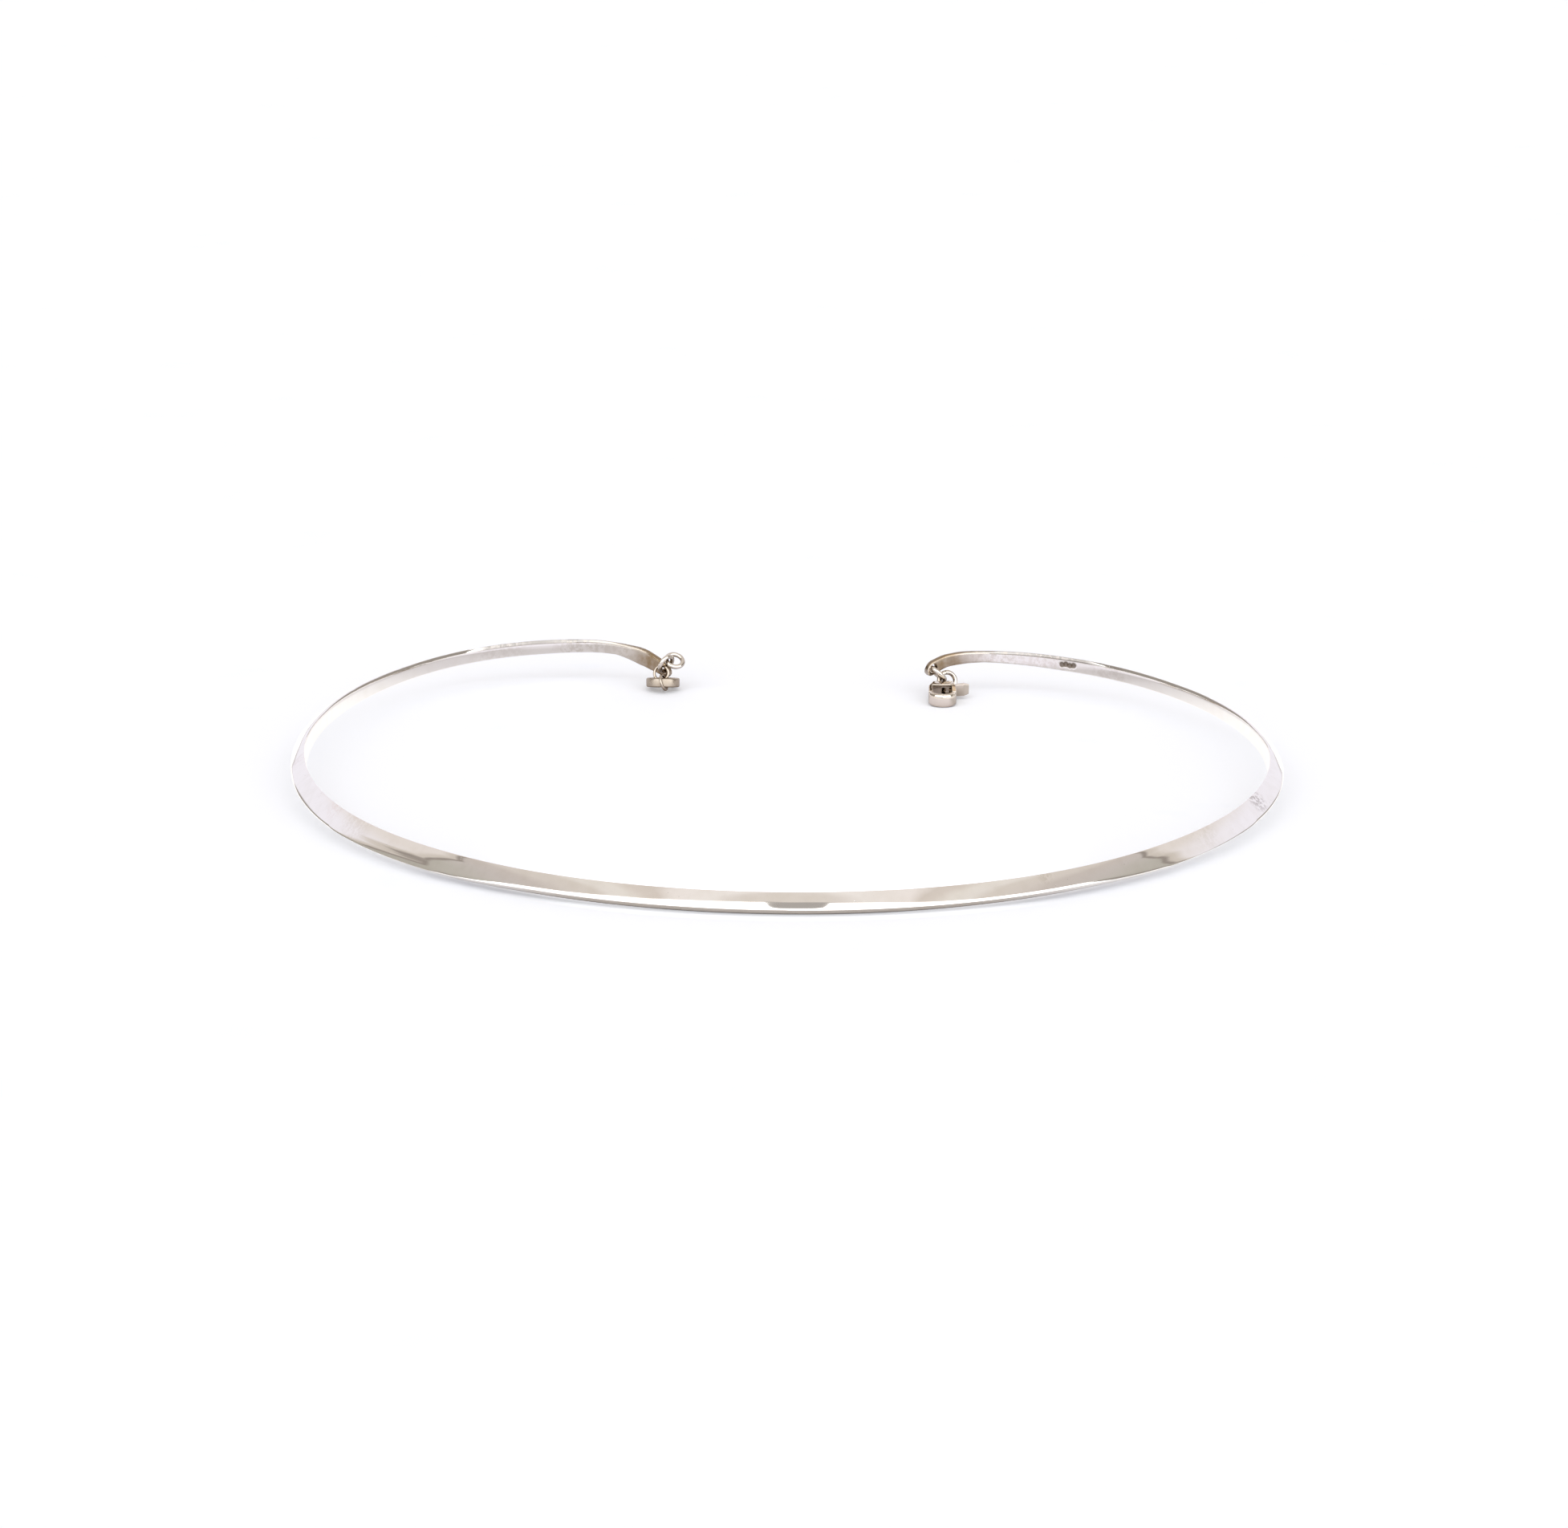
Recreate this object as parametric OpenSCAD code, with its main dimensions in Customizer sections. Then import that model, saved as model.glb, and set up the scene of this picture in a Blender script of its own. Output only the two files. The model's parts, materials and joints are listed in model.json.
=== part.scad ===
/* [Neck ring] */
// Height of the band at the front
band_h = 2.75; // [2.4:0.05:3.0]
// Depth of the band, from its inner wall to the outer ridge
band_d = 2.0; // [1.7:0.05:2.3]
// Height of the band along the arms
arm_h = 2.05; // [2.0:0.05:2.1]
// Depth of the band along the arms
arm_d = 1.5; // [1.3:0.05:1.8]

/* [Tips] */
// Thickness of the flattened tips
tip_t = 0.75; // [0.7:0.05:0.8]
// Diameter of the hole in each tip
hole_d = 1.25; // [1.25:0.05:1.3]

/* [Jump rings and links] */
// Outer diameter of the two jump rings on the left tip
left_ring_od = 3.0; // [2.95:0.05:3.05]
// Outer diameter of the two jump rings on the right tip
right_ring_od = 3.2; // [3.15:0.05:3.25]
// Wire of the four jump rings
ring_wire = 0.62; // [0.58:0.02:0.64]
// Outer diameter of the two small links
link_od = 2.45; // [2.4:0.05:2.5]
// Wire of the small links
link_wire = 0.34; // [0.3:0.02:0.36]

/* [Catch ring] */
// Outer diameter of the flat ring that the clasp closes on
catch_od = 4.75; // [4.7:0.05:4.8]
// Height of the catch ring
catch_h = 1.3; // [1.25:0.05:1.3]
// Wall of the catch ring
catch_wall = 0.45; // [0.4:0.05:0.45]

/* [Clasp] */
// Height of the clasp
clasp_h = 1.9; // [1.85:0.05:2.0]
// Wall of the claw
claw_wall = 0.6; // [0.5:0.05:0.65]
// How far the thumb tab sticks out of the claw
tab_out = 1.85; // [1.4:0.05:2.0]
// Radius of the pin that the lever turns on
pin_r = 0.3; // [0.25:0.05:0.35]

/* [Hidden] */

// Each arm is bent from the middle of the front to its tip. A row gives the
// heading in degrees (0 is sideways at the front), and the bend radius there
// of the left and the right arm. Between rows the radius changes evenly.
HEADING = 0;
LEFT = 1;
RIGHT = 2;
arm_bends = [
    [0, 73, 68],
    [30, 61, 60],
    [60, 56, 65],
    [90, 76, 57],
    [120, 55, 55],
    [140, 31, 39],
    [160, 24, 25],
    [180, 20, 20],
    [210, 20, 20],
];
front_r = 64;
turn_step = 3;

// The ring lies with its front on the table and its arms raised by this angle
tilt = 2.05;

// A row for each tip: heading where the arm ends, heading of the tip, its
// straight length, its height at the bend, the height of the arm just before
// it, how far the end droops and over what length.
tips = [
    [],
    [207, 222, 4.6, 2.5, 1.8, 2.3, 13],
    [195, 219, 3.0, 1.8, 1.7, 1.25, 7.5],
];
ARM_END = 0;
TIP_HEADING = 1;
TIP_LEN = 2;
TIP_H = 3;
NECK_H = 4;
DROOP = 5;
DROOP_LEN = 6;
tip_bend_r = 2.2;
tip_turn_step = 4;
hole_in = 1.15;
end_h = 2.1;

// The band's size against the distance from the end of the tip.
// [distance, height, depth, how flat from 0 to 1, base line]
function band_rows(side) =
    let (tip_h = tips[side][TIP_H], neck_h = tips[side][NECK_H])
    [
        [0, end_h, tip_t, 1, (arm_h - end_h) / 2],
        [hole_in, end_h, tip_t, 1, (arm_h - end_h) / 2],
        [4, tip_h, tip_t, 1, (arm_h - tip_h) * 0.75],
        [5.5, tip_h, tip_t + 0.1, 1, (arm_h - tip_h) * 0.75],
        [9, neck_h, arm_d * 0.9, 0.3, arm_h - neck_h],
        [20, arm_h, arm_d, 0, 0],
        [40, arm_h, arm_d, 0, 0],
        [75, band_h - 0.15, band_d, 0, 0],
        [110, band_h, band_d, 0, 0],
        [300, band_h, band_d, 0, 0],
    ];
BAND_H = 1;
BAND_D = 2;
BAND_FLAT = 3;
BAND_BASE = 4;
function band(side, dist, column) =
    lookup(dist, [for (row = band_rows(side)) [row[0], row[column]]]);

function bend_radius(side, heading) =
    lookup(heading, [for (row = arm_bends) [row[HEADING], row[side]]]);
function along(heading) = [cos(heading), sin(heading)];

// The arm as a list of [x, y, heading, distance from the front], drawn on the right
function arm_path(side) = [
    for (
        h = 0, p = [0, -front_r], s = 0;
        h <= tips[side][ARM_END];
        ds = bend_radius(side, h + turn_step / 2) * turn_step * PI / 180,
        p = p + ds * along(h + turn_step / 2),
        s = s + ds,
        h = h + turn_step
    ) [p.x, p.y, h, s]
];

// The tip's bend, then its straight stretch with closer stations at its round end
function tip_path(side, start) =
    let (
        turn = tips[side][TIP_HEADING] - start[2],
        n = ceil(turn / tip_turn_step),
        step = turn / n,
        ds = tip_bend_r * step * PI / 180,
        bend = [
            for (
                i = 0, p = [start.x, start.y], h = start[2], s = start[3];
                i <= n;
                p = p + ds * along(h + step / 2),
                s = s + ds,
                h = h + step,
                i = i + 1
            ) [p.x, p.y, h, s]
        ],
        last = bend[n],
        len = tips[side][TIP_LEN],
        r = end_h / 2,
        round_end = [for (a = [75:-15:15]) len - r + r * cos(a)],
        steps = concat([for (d = [1:1:len - r]) d], round_end, [len])
    )
    concat(
        [for (i = [1:n]) bend[i]],
        [for (d = steps) [last.x + d * cos(last[2]), last.y + d * sin(last[2]), last[2], last[3] + d]]
    );

function whole_arm(side) =
    let (arm = arm_path(side), tip = tip_path(side, arm[len(arm) - 1]))
    concat(arm, tip);

// Two sections of the band as [share of the depth, share of the height], each
// from the inner bottom edge round to the inner top edge: the knife edge of
// the ring and the flat plate of the tips.
knife_section = [
    [0, 0.055], [0.075, 0], [0.2, 0],
    [0.84, 0.175], [0.955, 0.24], [1, 0.345], [0.975, 0.42], [0.91, 0.485],
    [0.63, 0.71], [0.37, 0.885], [0.145, 1], [0, 0.86],
];
plate_section = [
    [0, 0.1], [0.07, 0.03], [0.25, 0],
    [0.75, 0], [0.93, 0.03], [1, 0.1], [1, 0.5], [1, 0.9],
    [0.93, 0.97], [0.75, 1], [0.25, 1], [0, 0.9],
];

function droop(side, dist) =
    let (length = tips[side][DROOP_LEN])
    dist > length ? 0 : tips[side][DROOP] * pow(1 - dist / length, 2);

// How much of the height is left at a distance from the tip's round end
least_h = 0.3;
function round_off(dist, r) = dist < r ? max(least_h, sqrt(r * r - pow(r - dist, 2)) / r) : 1;

// One ring of points, on the left mirrored
function station(side, st, total) =
    let (
        dist = total - st[3],
        full_h = band(side, dist, BAND_H),
        h = full_h * round_off(dist, end_h / 2),
        d = band(side, dist, BAND_D),
        flat = band(side, dist, BAND_FLAT),
        base = band(side, dist, BAND_BASE) + (full_h - h) / 2 - droop(side, dist),
        out = [sin(st[2]), -cos(st[2])]
    )
    [for (i = [0:len(knife_section) - 1])
        let (q = (1 - flat) * knife_section[i] + flat * plate_section[i])
        [flip(side) * (st.x + q.x * d * out.x), st.y + q.x * d * out.y, base + q.y * h]
    ];
function flip(side) = side == LEFT ? -1 : 1;

function arm_rings(side) =
    let (path = whole_arm(side), total = path[len(path) - 1][3])
    [for (st = path) station(side, st, total)];

collar_rings =
    let (left = arm_rings(LEFT), right = arm_rings(RIGHT), n = len(left))
    concat([for (i = [n - 1:-1:1]) left[i]], right);

// The middle of each tip's hole, and the turn of its bore
function hole_at(side) =
    let (
        path = whole_arm(side),
        end = path[len(path) - 1],
        spot = [end.x, end.y] - hole_in * along(end[2]) + tip_t / 2 * [sin(end[2]), -cos(end[2])]
    )
    [flip(side) * spot.x, spot.y, arm_h / 2 - droop(side, hole_in)];
function bore_turn(side) = flip(side) * tips[side][TIP_HEADING];
bore_len = 6;

// The ring is drawn flat, then leaned back by its tilt and set down on the
// table, with the origin under the middle of its box
function leaned(p) = [p.x, p.y * cos(tilt) - p.z * sin(tilt), p.y * sin(tilt) + p.z * cos(tilt)];
collar_points = [for (ring = collar_rings, p = ring) leaned(p)];
collar_x = [for (p = collar_points) p.x];
collar_y = [for (p = collar_points) p.y];
to_origin = [
    -(min(collar_x) + max(collar_x)) / 2,
    -(min(collar_y) + max(collar_y)) / 2,
    -min([for (p = collar_points) p.z]),
];
hole_left = leaned(hole_at(LEFT)) + to_origin;
hole_right = leaned(hole_at(RIGHT)) + to_origin;

// Where each ring hangs: its middle from the hole of its tip, how far its top
// leans back from upright, and its turn
//                 x      y      z   lean  turn
tip_left =     [ 0.20, -0.60,  0.90,  -22,   49];
second_left =  [ 1.40, -0.15,  1.25,   55,   22];
link_1 =       [-0.45, -1.15, -0.35,   22,  -20];
link_2 =       [-0.10, -2.20, -1.45,   20,   75];
tip_right =    [ 0.75,  0.20, -0.90,  -45,  -65];
second_right = [ 2.15,  0.40, -2.10,   16,   27];

// The catch ring and the clasp rest on the table: how far each is across from
// the hole of its tip, and how far its raised side is tipped up
catch_lies = [-0.25, -0.25];
catch_tip = 12;
clasp_lies = [1.30, -7.65];
clasp_tip = 3.5;

catch_chamfer = 0.1;
catch_faces = 48;

// The clasp is drawn in its own frame: x across, y back from the front of the
// nose to the eye, z up from its flat underside
claw_r = 1.975;
claw_inner_r = claw_r - claw_wall;
hub_front = 5.05;
hub_back = 6.65;
hub_corner_x = -1.2;
wall_corner = [-1.9, 4.6];
pivot = [0.85, 5.95];
cheek_r = 0.95;
slot_z = [0.5, 1.4];
slot_front = 4.6;
slot_back = 6.0;
slot_right = 2.5;
slot_r = 0.72;
barrel_r = 0.65;
pin_fit = 0.02;
pin_play = 0.06;
lever_gap = 0.06;
gate_r = 4.13;
gate_gap = 0.08;
gate_x = [1.35, 1.95];
gate_back = 5.2;
root_r = 1.05;
web_points = [[0.55, 5.95], [1.95, 5.95], [1.95, 4.8], [1.35, 4.8]];
tab_y = [5.2, 6.05];
eye_at = [0, 7.4];
eye_r = 1.2;
eye_hole_r = 0.7;
eye_z = [0.65, 1.25];
curve_faces = 64;

module sweep(rings) {
    n = len(rings[0]);
    m = len(rings);
    points = [for (ring = rings) each ring];
    sides = [for (j = [0:m - 2], i = [0:n - 1]) each [
        [j * n + i, j * n + (i + 1) % n, (j + 1) * n + (i + 1) % n],
        [j * n + i, (j + 1) * n + (i + 1) % n, (j + 1) * n + i],
    ]];
    first = [[for (i = [n - 1:-1:0]) i]];
    last = [[for (i = [0:n - 1]) (m - 1) * n + i]];
    polyhedron(points, concat(first, sides, last));
}

module tip_bore(side) {
    translate(hole_at(side)) rotate([90, 0, bore_turn(side)])
        cylinder(d = hole_d, h = bore_len, center = true, $fn = 24);
}

module collar() {
    color("silver") translate(to_origin) rotate([tilt, 0, 0]) difference() {
        sweep(collar_rings);
        tip_bore(LEFT);
        tip_bore(RIGHT);
    }
}

// A round link, leaned back from upright and turned about its middle
module wire_ring(od, wire, hole, place) {
    color("silver") translate(hole + [place[0], place[1], place[2]]) rotate([90 - place[3], 0, place[4]])
        rotate_extrude($fn = 48) translate([(od - wire) / 2, 0]) circle(d = wire, $fn = 24);
}

module tip_ring_left() {
    wire_ring(left_ring_od, ring_wire, hole_left, tip_left);
}

module second_ring_left() {
    wire_ring(left_ring_od, ring_wire, hole_left, second_left);
}

module small_link_1() {
    wire_ring(link_od, link_wire, hole_left, link_1);
}

module small_link_2() {
    wire_ring(link_od, link_wire, hole_left, link_2);
}

module tip_ring_right() {
    wire_ring(right_ring_od, ring_wire, hole_right, tip_right);
}

module second_ring_right() {
    wire_ring(right_ring_od, ring_wire, hole_right, second_right);
}

// The catch ring's far side rests on the table, on its lower chamfer edge
module catch_ring() {
    out = catch_od / 2;
    half = catch_h / 2;
    c = catch_chamfer;
    rest_z = (out - c) * sin(catch_tip) + half * cos(catch_tip);
    color("silver") translate([hole_left.x + catch_lies.x, hole_left.y + catch_lies.y, rest_z])
        rotate([-catch_tip, 0, 0]) rotate_extrude($fn = catch_faces) polygon([
            [out - catch_wall, c - half], [out - catch_wall + c, -half], [out - c, -half], [out, c - half],
            [out, half - c], [out - c, half], [out - catch_wall + c, half], [out - catch_wall, half - c],
        ]);
}

module clasp_lies_there() {
    translate([hole_right.x + clasp_lies.x, hole_right.y + clasp_lies.y, 0]) rotate([clasp_tip, 0, 0])
        children();
}

module disc(middle, r, low, high) {
    translate([middle.x, middle.y, low]) cylinder(r = r, h = high - low, $fn = curve_faces);
}

// The gate's swing clears all that it passes by this much at the end of the hook
module swing_room() {
    intersection() {
        disc(pivot, gate_r + gate_gap, -1, clasp_h + 1);
        translate([gate_x[0] - lever_gap, 0, -1]) cube([claw_r, hub_front, clasp_h + 2]);
    }
}

module clasp_body() {
    color("silver") clasp_lies_there() difference() {
        union() {
            difference() {
                union() {
                    disc([0, claw_r], claw_r, 0, clasp_h);
                    linear_extrude(clasp_h) polygon([
                        [-claw_r, claw_r], [claw_r, claw_r], [claw_r, hub_front],
                        [pivot.x, hub_front], [pivot.x, hub_back], [hub_corner_x, hub_back], wall_corner,
                    ]);
                    disc(pivot, cheek_r, 0, clasp_h);
                }
                disc([0, claw_r], claw_inner_r, -1, clasp_h + 1);
                translate([-claw_inner_r, claw_r, -1])
                    cube([2 * claw_inner_r, hub_front - claw_r, clasp_h + 2]);
                swing_room();
            }
            disc(eye_at, eye_r, eye_z[0], eye_z[1]);
        }
        disc(eye_at, eye_hole_r, eye_z[0] - 1, eye_z[1] + 1);
        translate([0, slot_front, slot_z[0]])
            cube([slot_right, slot_back - slot_front, slot_z[1] - slot_z[0]]);
        disc(pivot, slot_r, slot_z[0], slot_z[1]);
        disc(pivot, pin_r + pin_fit, -1, clasp_h + 1);
    }
}

module clasp_pin() {
    color("silver") clasp_lies_there() disc(pivot, pin_r, 0, clasp_h);
}

// The lever's gate and thumb tab are as high as the clasp. Between them, in the
// slot, it is thinner and goes round the pin.
module clasp_lever() {
    low = slot_z[0] + lever_gap;
    high = slot_z[1] - lever_gap;
    color("silver") clasp_lies_there() difference() {
        union() {
            difference() {
                union() {
                    intersection() {
                        disc(pivot, gate_r, 0, clasp_h);
                        translate([gate_x[0], 0, 0]) cube([gate_x[1] - gate_x[0], gate_back, clasp_h]);
                    }
                    translate([gate_x[0], tab_y[0], 0])
                        cube([claw_r + tab_out - gate_x[0], tab_y[1] - tab_y[0], clasp_h]);
                }
                disc(pivot, root_r, -1, clasp_h + 1);
            }
            disc(pivot, barrel_r, low, high);
            translate([0, 0, low]) linear_extrude(high - low) polygon(web_points);
        }
        disc(pivot, pin_r + pin_play, -1, clasp_h + 1);
    }
}

collar();
tip_ring_left();
second_ring_left();
small_link_1();
small_link_2();
catch_ring();
tip_ring_right();
second_ring_right();
clasp_body();
clasp_pin();
clasp_lever();
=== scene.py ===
"""A rigid silver neck ring with a lobster clasp, lying on a white table.

Lengths are in millimetres, as in the part's source, and meshes are brought to metres
when they are made. The zones of the table are in metres.
"""

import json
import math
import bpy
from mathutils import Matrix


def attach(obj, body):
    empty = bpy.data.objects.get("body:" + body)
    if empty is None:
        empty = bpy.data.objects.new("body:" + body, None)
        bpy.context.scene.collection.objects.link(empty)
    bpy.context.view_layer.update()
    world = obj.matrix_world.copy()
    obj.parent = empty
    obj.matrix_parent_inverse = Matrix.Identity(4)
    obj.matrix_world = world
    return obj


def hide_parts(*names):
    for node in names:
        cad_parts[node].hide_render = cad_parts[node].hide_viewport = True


bl_info = {
    "name": "Silver neck ring",
    "version": (1, 0, 0),
    "blender": (4, 5, 0),
    "location": "View3D > Sidebar > Neck ring",
    "description": "Makes the finished look of a forged silver neck ring on a white table",
    "category": "Add Mesh",
}

import bmesh
import bpy
import numpy as np
from bpy.props import FloatProperty, FloatVectorProperty, PointerProperty
from mathutils import Matrix, Vector

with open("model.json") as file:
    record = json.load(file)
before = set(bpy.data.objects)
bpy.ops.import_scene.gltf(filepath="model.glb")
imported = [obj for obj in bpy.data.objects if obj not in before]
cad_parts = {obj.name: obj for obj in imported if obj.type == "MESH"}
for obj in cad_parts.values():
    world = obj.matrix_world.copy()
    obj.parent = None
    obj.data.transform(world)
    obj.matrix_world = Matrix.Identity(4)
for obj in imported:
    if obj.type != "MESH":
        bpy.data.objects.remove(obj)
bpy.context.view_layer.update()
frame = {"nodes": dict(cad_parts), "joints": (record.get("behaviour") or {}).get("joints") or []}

MM = 0.001
RING_BODY = "neck_ring"
LEVER_BODY = "lever"
LEFT = -1
RIGHT = 1


# The sizes and finishes that a user would change


class NeckRingSizes(bpy.types.PropertyGroup):
    """Sizes of the forged band"""

    band_height: FloatProperty(
        name="Band height", description="Height of the band at the front, in millimetres", default=2.75
    )
    band_depth: FloatProperty(
        name="Band depth", description="From the inner wall to the outer ridge, in millimetres", default=2.0
    )
    arm_height: FloatProperty(
        name="Arm height", description="Height of the band along the arms, in millimetres", default=2.05
    )
    arm_depth: FloatProperty(
        name="Arm depth", description="Depth of the band along the arms, in millimetres", default=1.5
    )
    hammer_waves: FloatProperty(
        name="Hammer waves",
        description="How far the forged faces wander from true, in millimetres",
        default=0.0035,
    )
    edge_nicks: FloatProperty(
        name="Edge nicks",
        description="Depth of the small nicks in the top edge of the arms, in millimetres",
        default=0.07,
    )


class SilverFinish(bpy.types.PropertyGroup):
    """Colour and polish of the silver"""

    silver: FloatVectorProperty(
        name="Silver",
        description="Colour of clean polished silver",
        subtype="COLOR",
        default=(0.93, 0.91, 0.89),
    )
    tarnish: FloatVectorProperty(
        name="Tarnish",
        description="Colour of the brown film in the bends of the tips",
        subtype="COLOR",
        default=(0.34, 0.24, 0.135),
    )
    polish: FloatProperty(
        name="Polish", description="Roughness of the polished faces", default=0.03, min=0.0, max=1.0
    )
    wear: FloatProperty(
        name="Wear", description="Depth of the fine scratches", default=0.12, min=0.0, max=1.0
    )


class TableLight(bpy.types.PropertyGroup):
    """The white table and the light round it"""

    table: FloatVectorProperty(
        name="Table", description="Colour of the table", subtype="COLOR", default=(0.865, 0.893, 0.945)
    )
    mirrored_table: FloatVectorProperty(
        name="Mirrored table",
        description="Colour of the table as the inner wall shows it",
        subtype="COLOR",
        default=(0.60, 0.585, 0.605),
    )
    mirrored_front: FloatVectorProperty(
        name="Mirrored front",
        description="Colour of the table's front as the ridge shows it",
        subtype="COLOR",
        default=(0.46, 0.43, 0.41),
    )
    glow: FloatProperty(
        name="Table glow",
        description="Light added to the table as the camera sees it",
        default=0.085,
        min=0.0,
    )
    softbox: FloatProperty(
        name="Softboxes", description="Brightness of the two front softboxes", default=2.0, min=0.0
    )


# The path of the band, as in the part's source

# Radius of the arms' curve, by the heading in degrees
ARM_BENDS = {
    "heading": (0, 30, 60, 90, 120, 140, 160, 180, 210),
    LEFT: (73, 61, 56, 76, 55, 31, 24, 20, 20),
    RIGHT: (68, 60, 65, 57, 55, 39, 25, 20, 20),
}
TIPS = {
    LEFT: dict(arm_end=207, heading=222, length=4.6, height=2.5, neck=1.8, droop=2.3, droop_length=13),
    RIGHT: dict(arm_end=195, heading=219, length=3.0, height=1.8, neck=1.7, droop=1.25, droop_length=7.5),
}
TIP_THICKNESS = 0.75
TIP_END_HEIGHT = 2.1
TIP_END_LEAST = 0.3
TIP_BEND_RADIUS = 2.2
HOLE_DIAMETER = 1.25
HOLE_IN = 1.15
FRONT_RADIUS = 64
TURN_STEP = 3
TIP_TURN_STEP = 4
TIP_STEP = 0.25
TILT = math.radians(2.05)

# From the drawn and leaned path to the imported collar, which rests on the table
SHIFT = np.array([0.148, 7.392, 2.304])

# Sections as (share of the depth, share of the height, reach of the rounding in
# millimetres), from the inner bottom edge round to the inner top edge. A long reach
# makes the corner part of one smooth curve. The knife section is the ring's own, the
# crisp one has the sharper ridge of the front quarters, and the plate is the tips'.
SMOOTH = 9
KNIFE_SECTION = (
    (0, 0.055, 0.06), (0.075, 0, 0.08), (0.2, 0, 0.08),
    (0.84, 0.175, 0.25), (0.955, 0.24, SMOOTH), (1, 0.345, SMOOTH),
    (0.975, 0.42, SMOOTH), (0.91, 0.485, SMOOTH), (0.63, 0.71, SMOOTH),
    (0.37, 0.885, SMOOTH), (0.12, 1, 0.03), (0, 0.835, 0.42),
)
CRISP_SECTION = (
    (0, 0.055, 0.06), (0.075, 0, 0.08), (0.2, 0, 0.08),
    (0.80, 0.06, 0.2), (0.95, 0.12, 0.2), (1.18, 0.24, 0.05),
    (1.04, 0.365, SMOOTH), (0.88, 0.50, SMOOTH), (0.63, 0.715, SMOOTH),
    (0.37, 0.90, SMOOTH), (0.10, 1.045, 0.2), (0, 0.835, 0.42),
)
PLATE_SECTION = (
    (0, 0.1, 0.25), (0.07, 0.03, 0.25), (0.25, 0, 0.25),
    (0.75, 0, 0.25), (0.93, 0.03, 0.25), (1, 0.1, 0.25),
    (1, 0.5, 0.25), (1, 0.9, 0.25), (0.93, 0.97, 0.25),
    (0.75, 1, 0.25), (0.25, 1, 0.25), (0, 0.9, 0.25),
)
TOP_CORNER = 10
CORNER_STEPS = 5
STATION_STEP = 0.6
END_STATIONS = 15
# Points that lie nearer than this are joined
WELD = 0.002

# How crisp the ridge is, by the distance from the front. On the right arm the crisp
# stretch lies a little further on.
CRISP_AT = (30, 46, 64, 98)
CRISP_SHARE = (0, 1, 1, 0)
CRISP_RIGHT_SHIFT = 5

# Waves that the hammer left: share of the depth, pace in radians a millimetre, start
HAMMER = ((1.0, 0.53, 0.0), (0.6, 1.17, 1.3))
NICKED_STRETCH = (20, 75)
NICK_SHARE = {LEFT: 1, RIGHT: 0.5}


def lookup(x, xs, ys):
    return float(np.interp(x, xs, ys))


def heading_vector(degrees):
    a = math.radians(degrees)
    return np.array([math.cos(a), math.sin(a)])


def outward_vector(degrees):
    a = math.radians(degrees)
    return np.array([math.sin(a), -math.cos(a)])


def coarse_path(side):
    """The source's own stations: x, y, heading, distance from the front"""
    tip = TIPS[side]
    point, distance, heading = np.array([0.0, -FRONT_RADIUS]), 0.0, 0
    rows = []
    while heading <= tip["arm_end"]:
        rows.append((*point, heading, distance))
        middle = heading + TURN_STEP / 2
        stride = lookup(middle, ARM_BENDS["heading"], ARM_BENDS[side]) * math.radians(TURN_STEP)
        point = point + stride * heading_vector(middle)
        distance += stride
        heading += TURN_STEP
    x, y, heading, distance = rows[-1]
    point = np.array([x, y])
    count = math.ceil((tip["heading"] - heading) / TIP_TURN_STEP)
    turn = (tip["heading"] - heading) / count
    stride = TIP_BEND_RADIUS * math.radians(turn)
    for _ in range(count):
        point = point + stride * heading_vector(heading + turn / 2)
        heading += turn
        distance += stride
        rows.append((*point, heading, distance))
    length = tip["length"]
    run = heading_vector(heading)
    for along in np.arange(TIP_STEP, length + 0.01, TIP_STEP):
        along = min(along, length)
        rows.append((*(point + along * run), heading, distance + along))
    return np.array(rows)


def fine_path(side):
    """Stations on a smooth curve through the coarse ones: x, y, heading, gap to the tip's end"""
    rows = coarse_path(side)
    total = rows[-1, 3]
    r = TIP_END_HEIGHT / 2
    even = np.arange(0, total - r, STATION_STEP)
    end = total - r + r * np.sin(np.radians(np.linspace(0, 90, END_STATIONS)))
    fine = []
    for s in np.concatenate([even, end]):
        i = min(max(int(np.searchsorted(rows[:, 3], s, side="right")) - 1, 0), len(rows) - 2)
        a, b = rows[i], rows[i + 1]
        span = b[3] - a[3]
        t = min(max((s - a[3]) / span, 0), 1)
        h00, h10 = 2 * t**3 - 3 * t**2 + 1, t**3 - 2 * t**2 + t
        h01, h11 = -2 * t**3 + 3 * t**2, t**3 - t**2
        point = h00 * a[:2] + h01 * b[:2]
        point = point + span * (h10 * heading_vector(a[2]) + h11 * heading_vector(b[2]))
        fine.append((*point, a[2] + (b[2] - a[2]) * t, total - s))
    return np.array(fine)


def band_size(side, gap, sizes):
    """Height, depth, flatness and base line of the band at a gap from the tip's end"""
    tip = TIPS[side]
    arm_h, arm_d = sizes.arm_height, sizes.arm_depth
    end_base = (arm_h - TIP_END_HEIGHT) / 2
    plate_base = (arm_h - tip["height"]) * 0.75
    rows = (
        (HOLE_IN, TIP_END_HEIGHT, TIP_THICKNESS, 1, end_base),
        (4, tip["height"], TIP_THICKNESS, 1, plate_base),
        (5.5, tip["height"], TIP_THICKNESS + 0.1, 1, plate_base),
        (9, tip["neck"], arm_d * 0.9, 0.3, arm_h - tip["neck"]),
        (20, arm_h, arm_d, 0, 0),
        (40, arm_h, arm_d, 0, 0),
        (75, sizes.band_height - 0.15, sizes.band_depth, 0, 0),
        (110, sizes.band_height, sizes.band_depth, 0, 0),
    )
    at = [row[0] for row in rows]
    return [lookup(gap, at, [row[column] for row in rows]) for column in (1, 2, 3, 4)]


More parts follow.
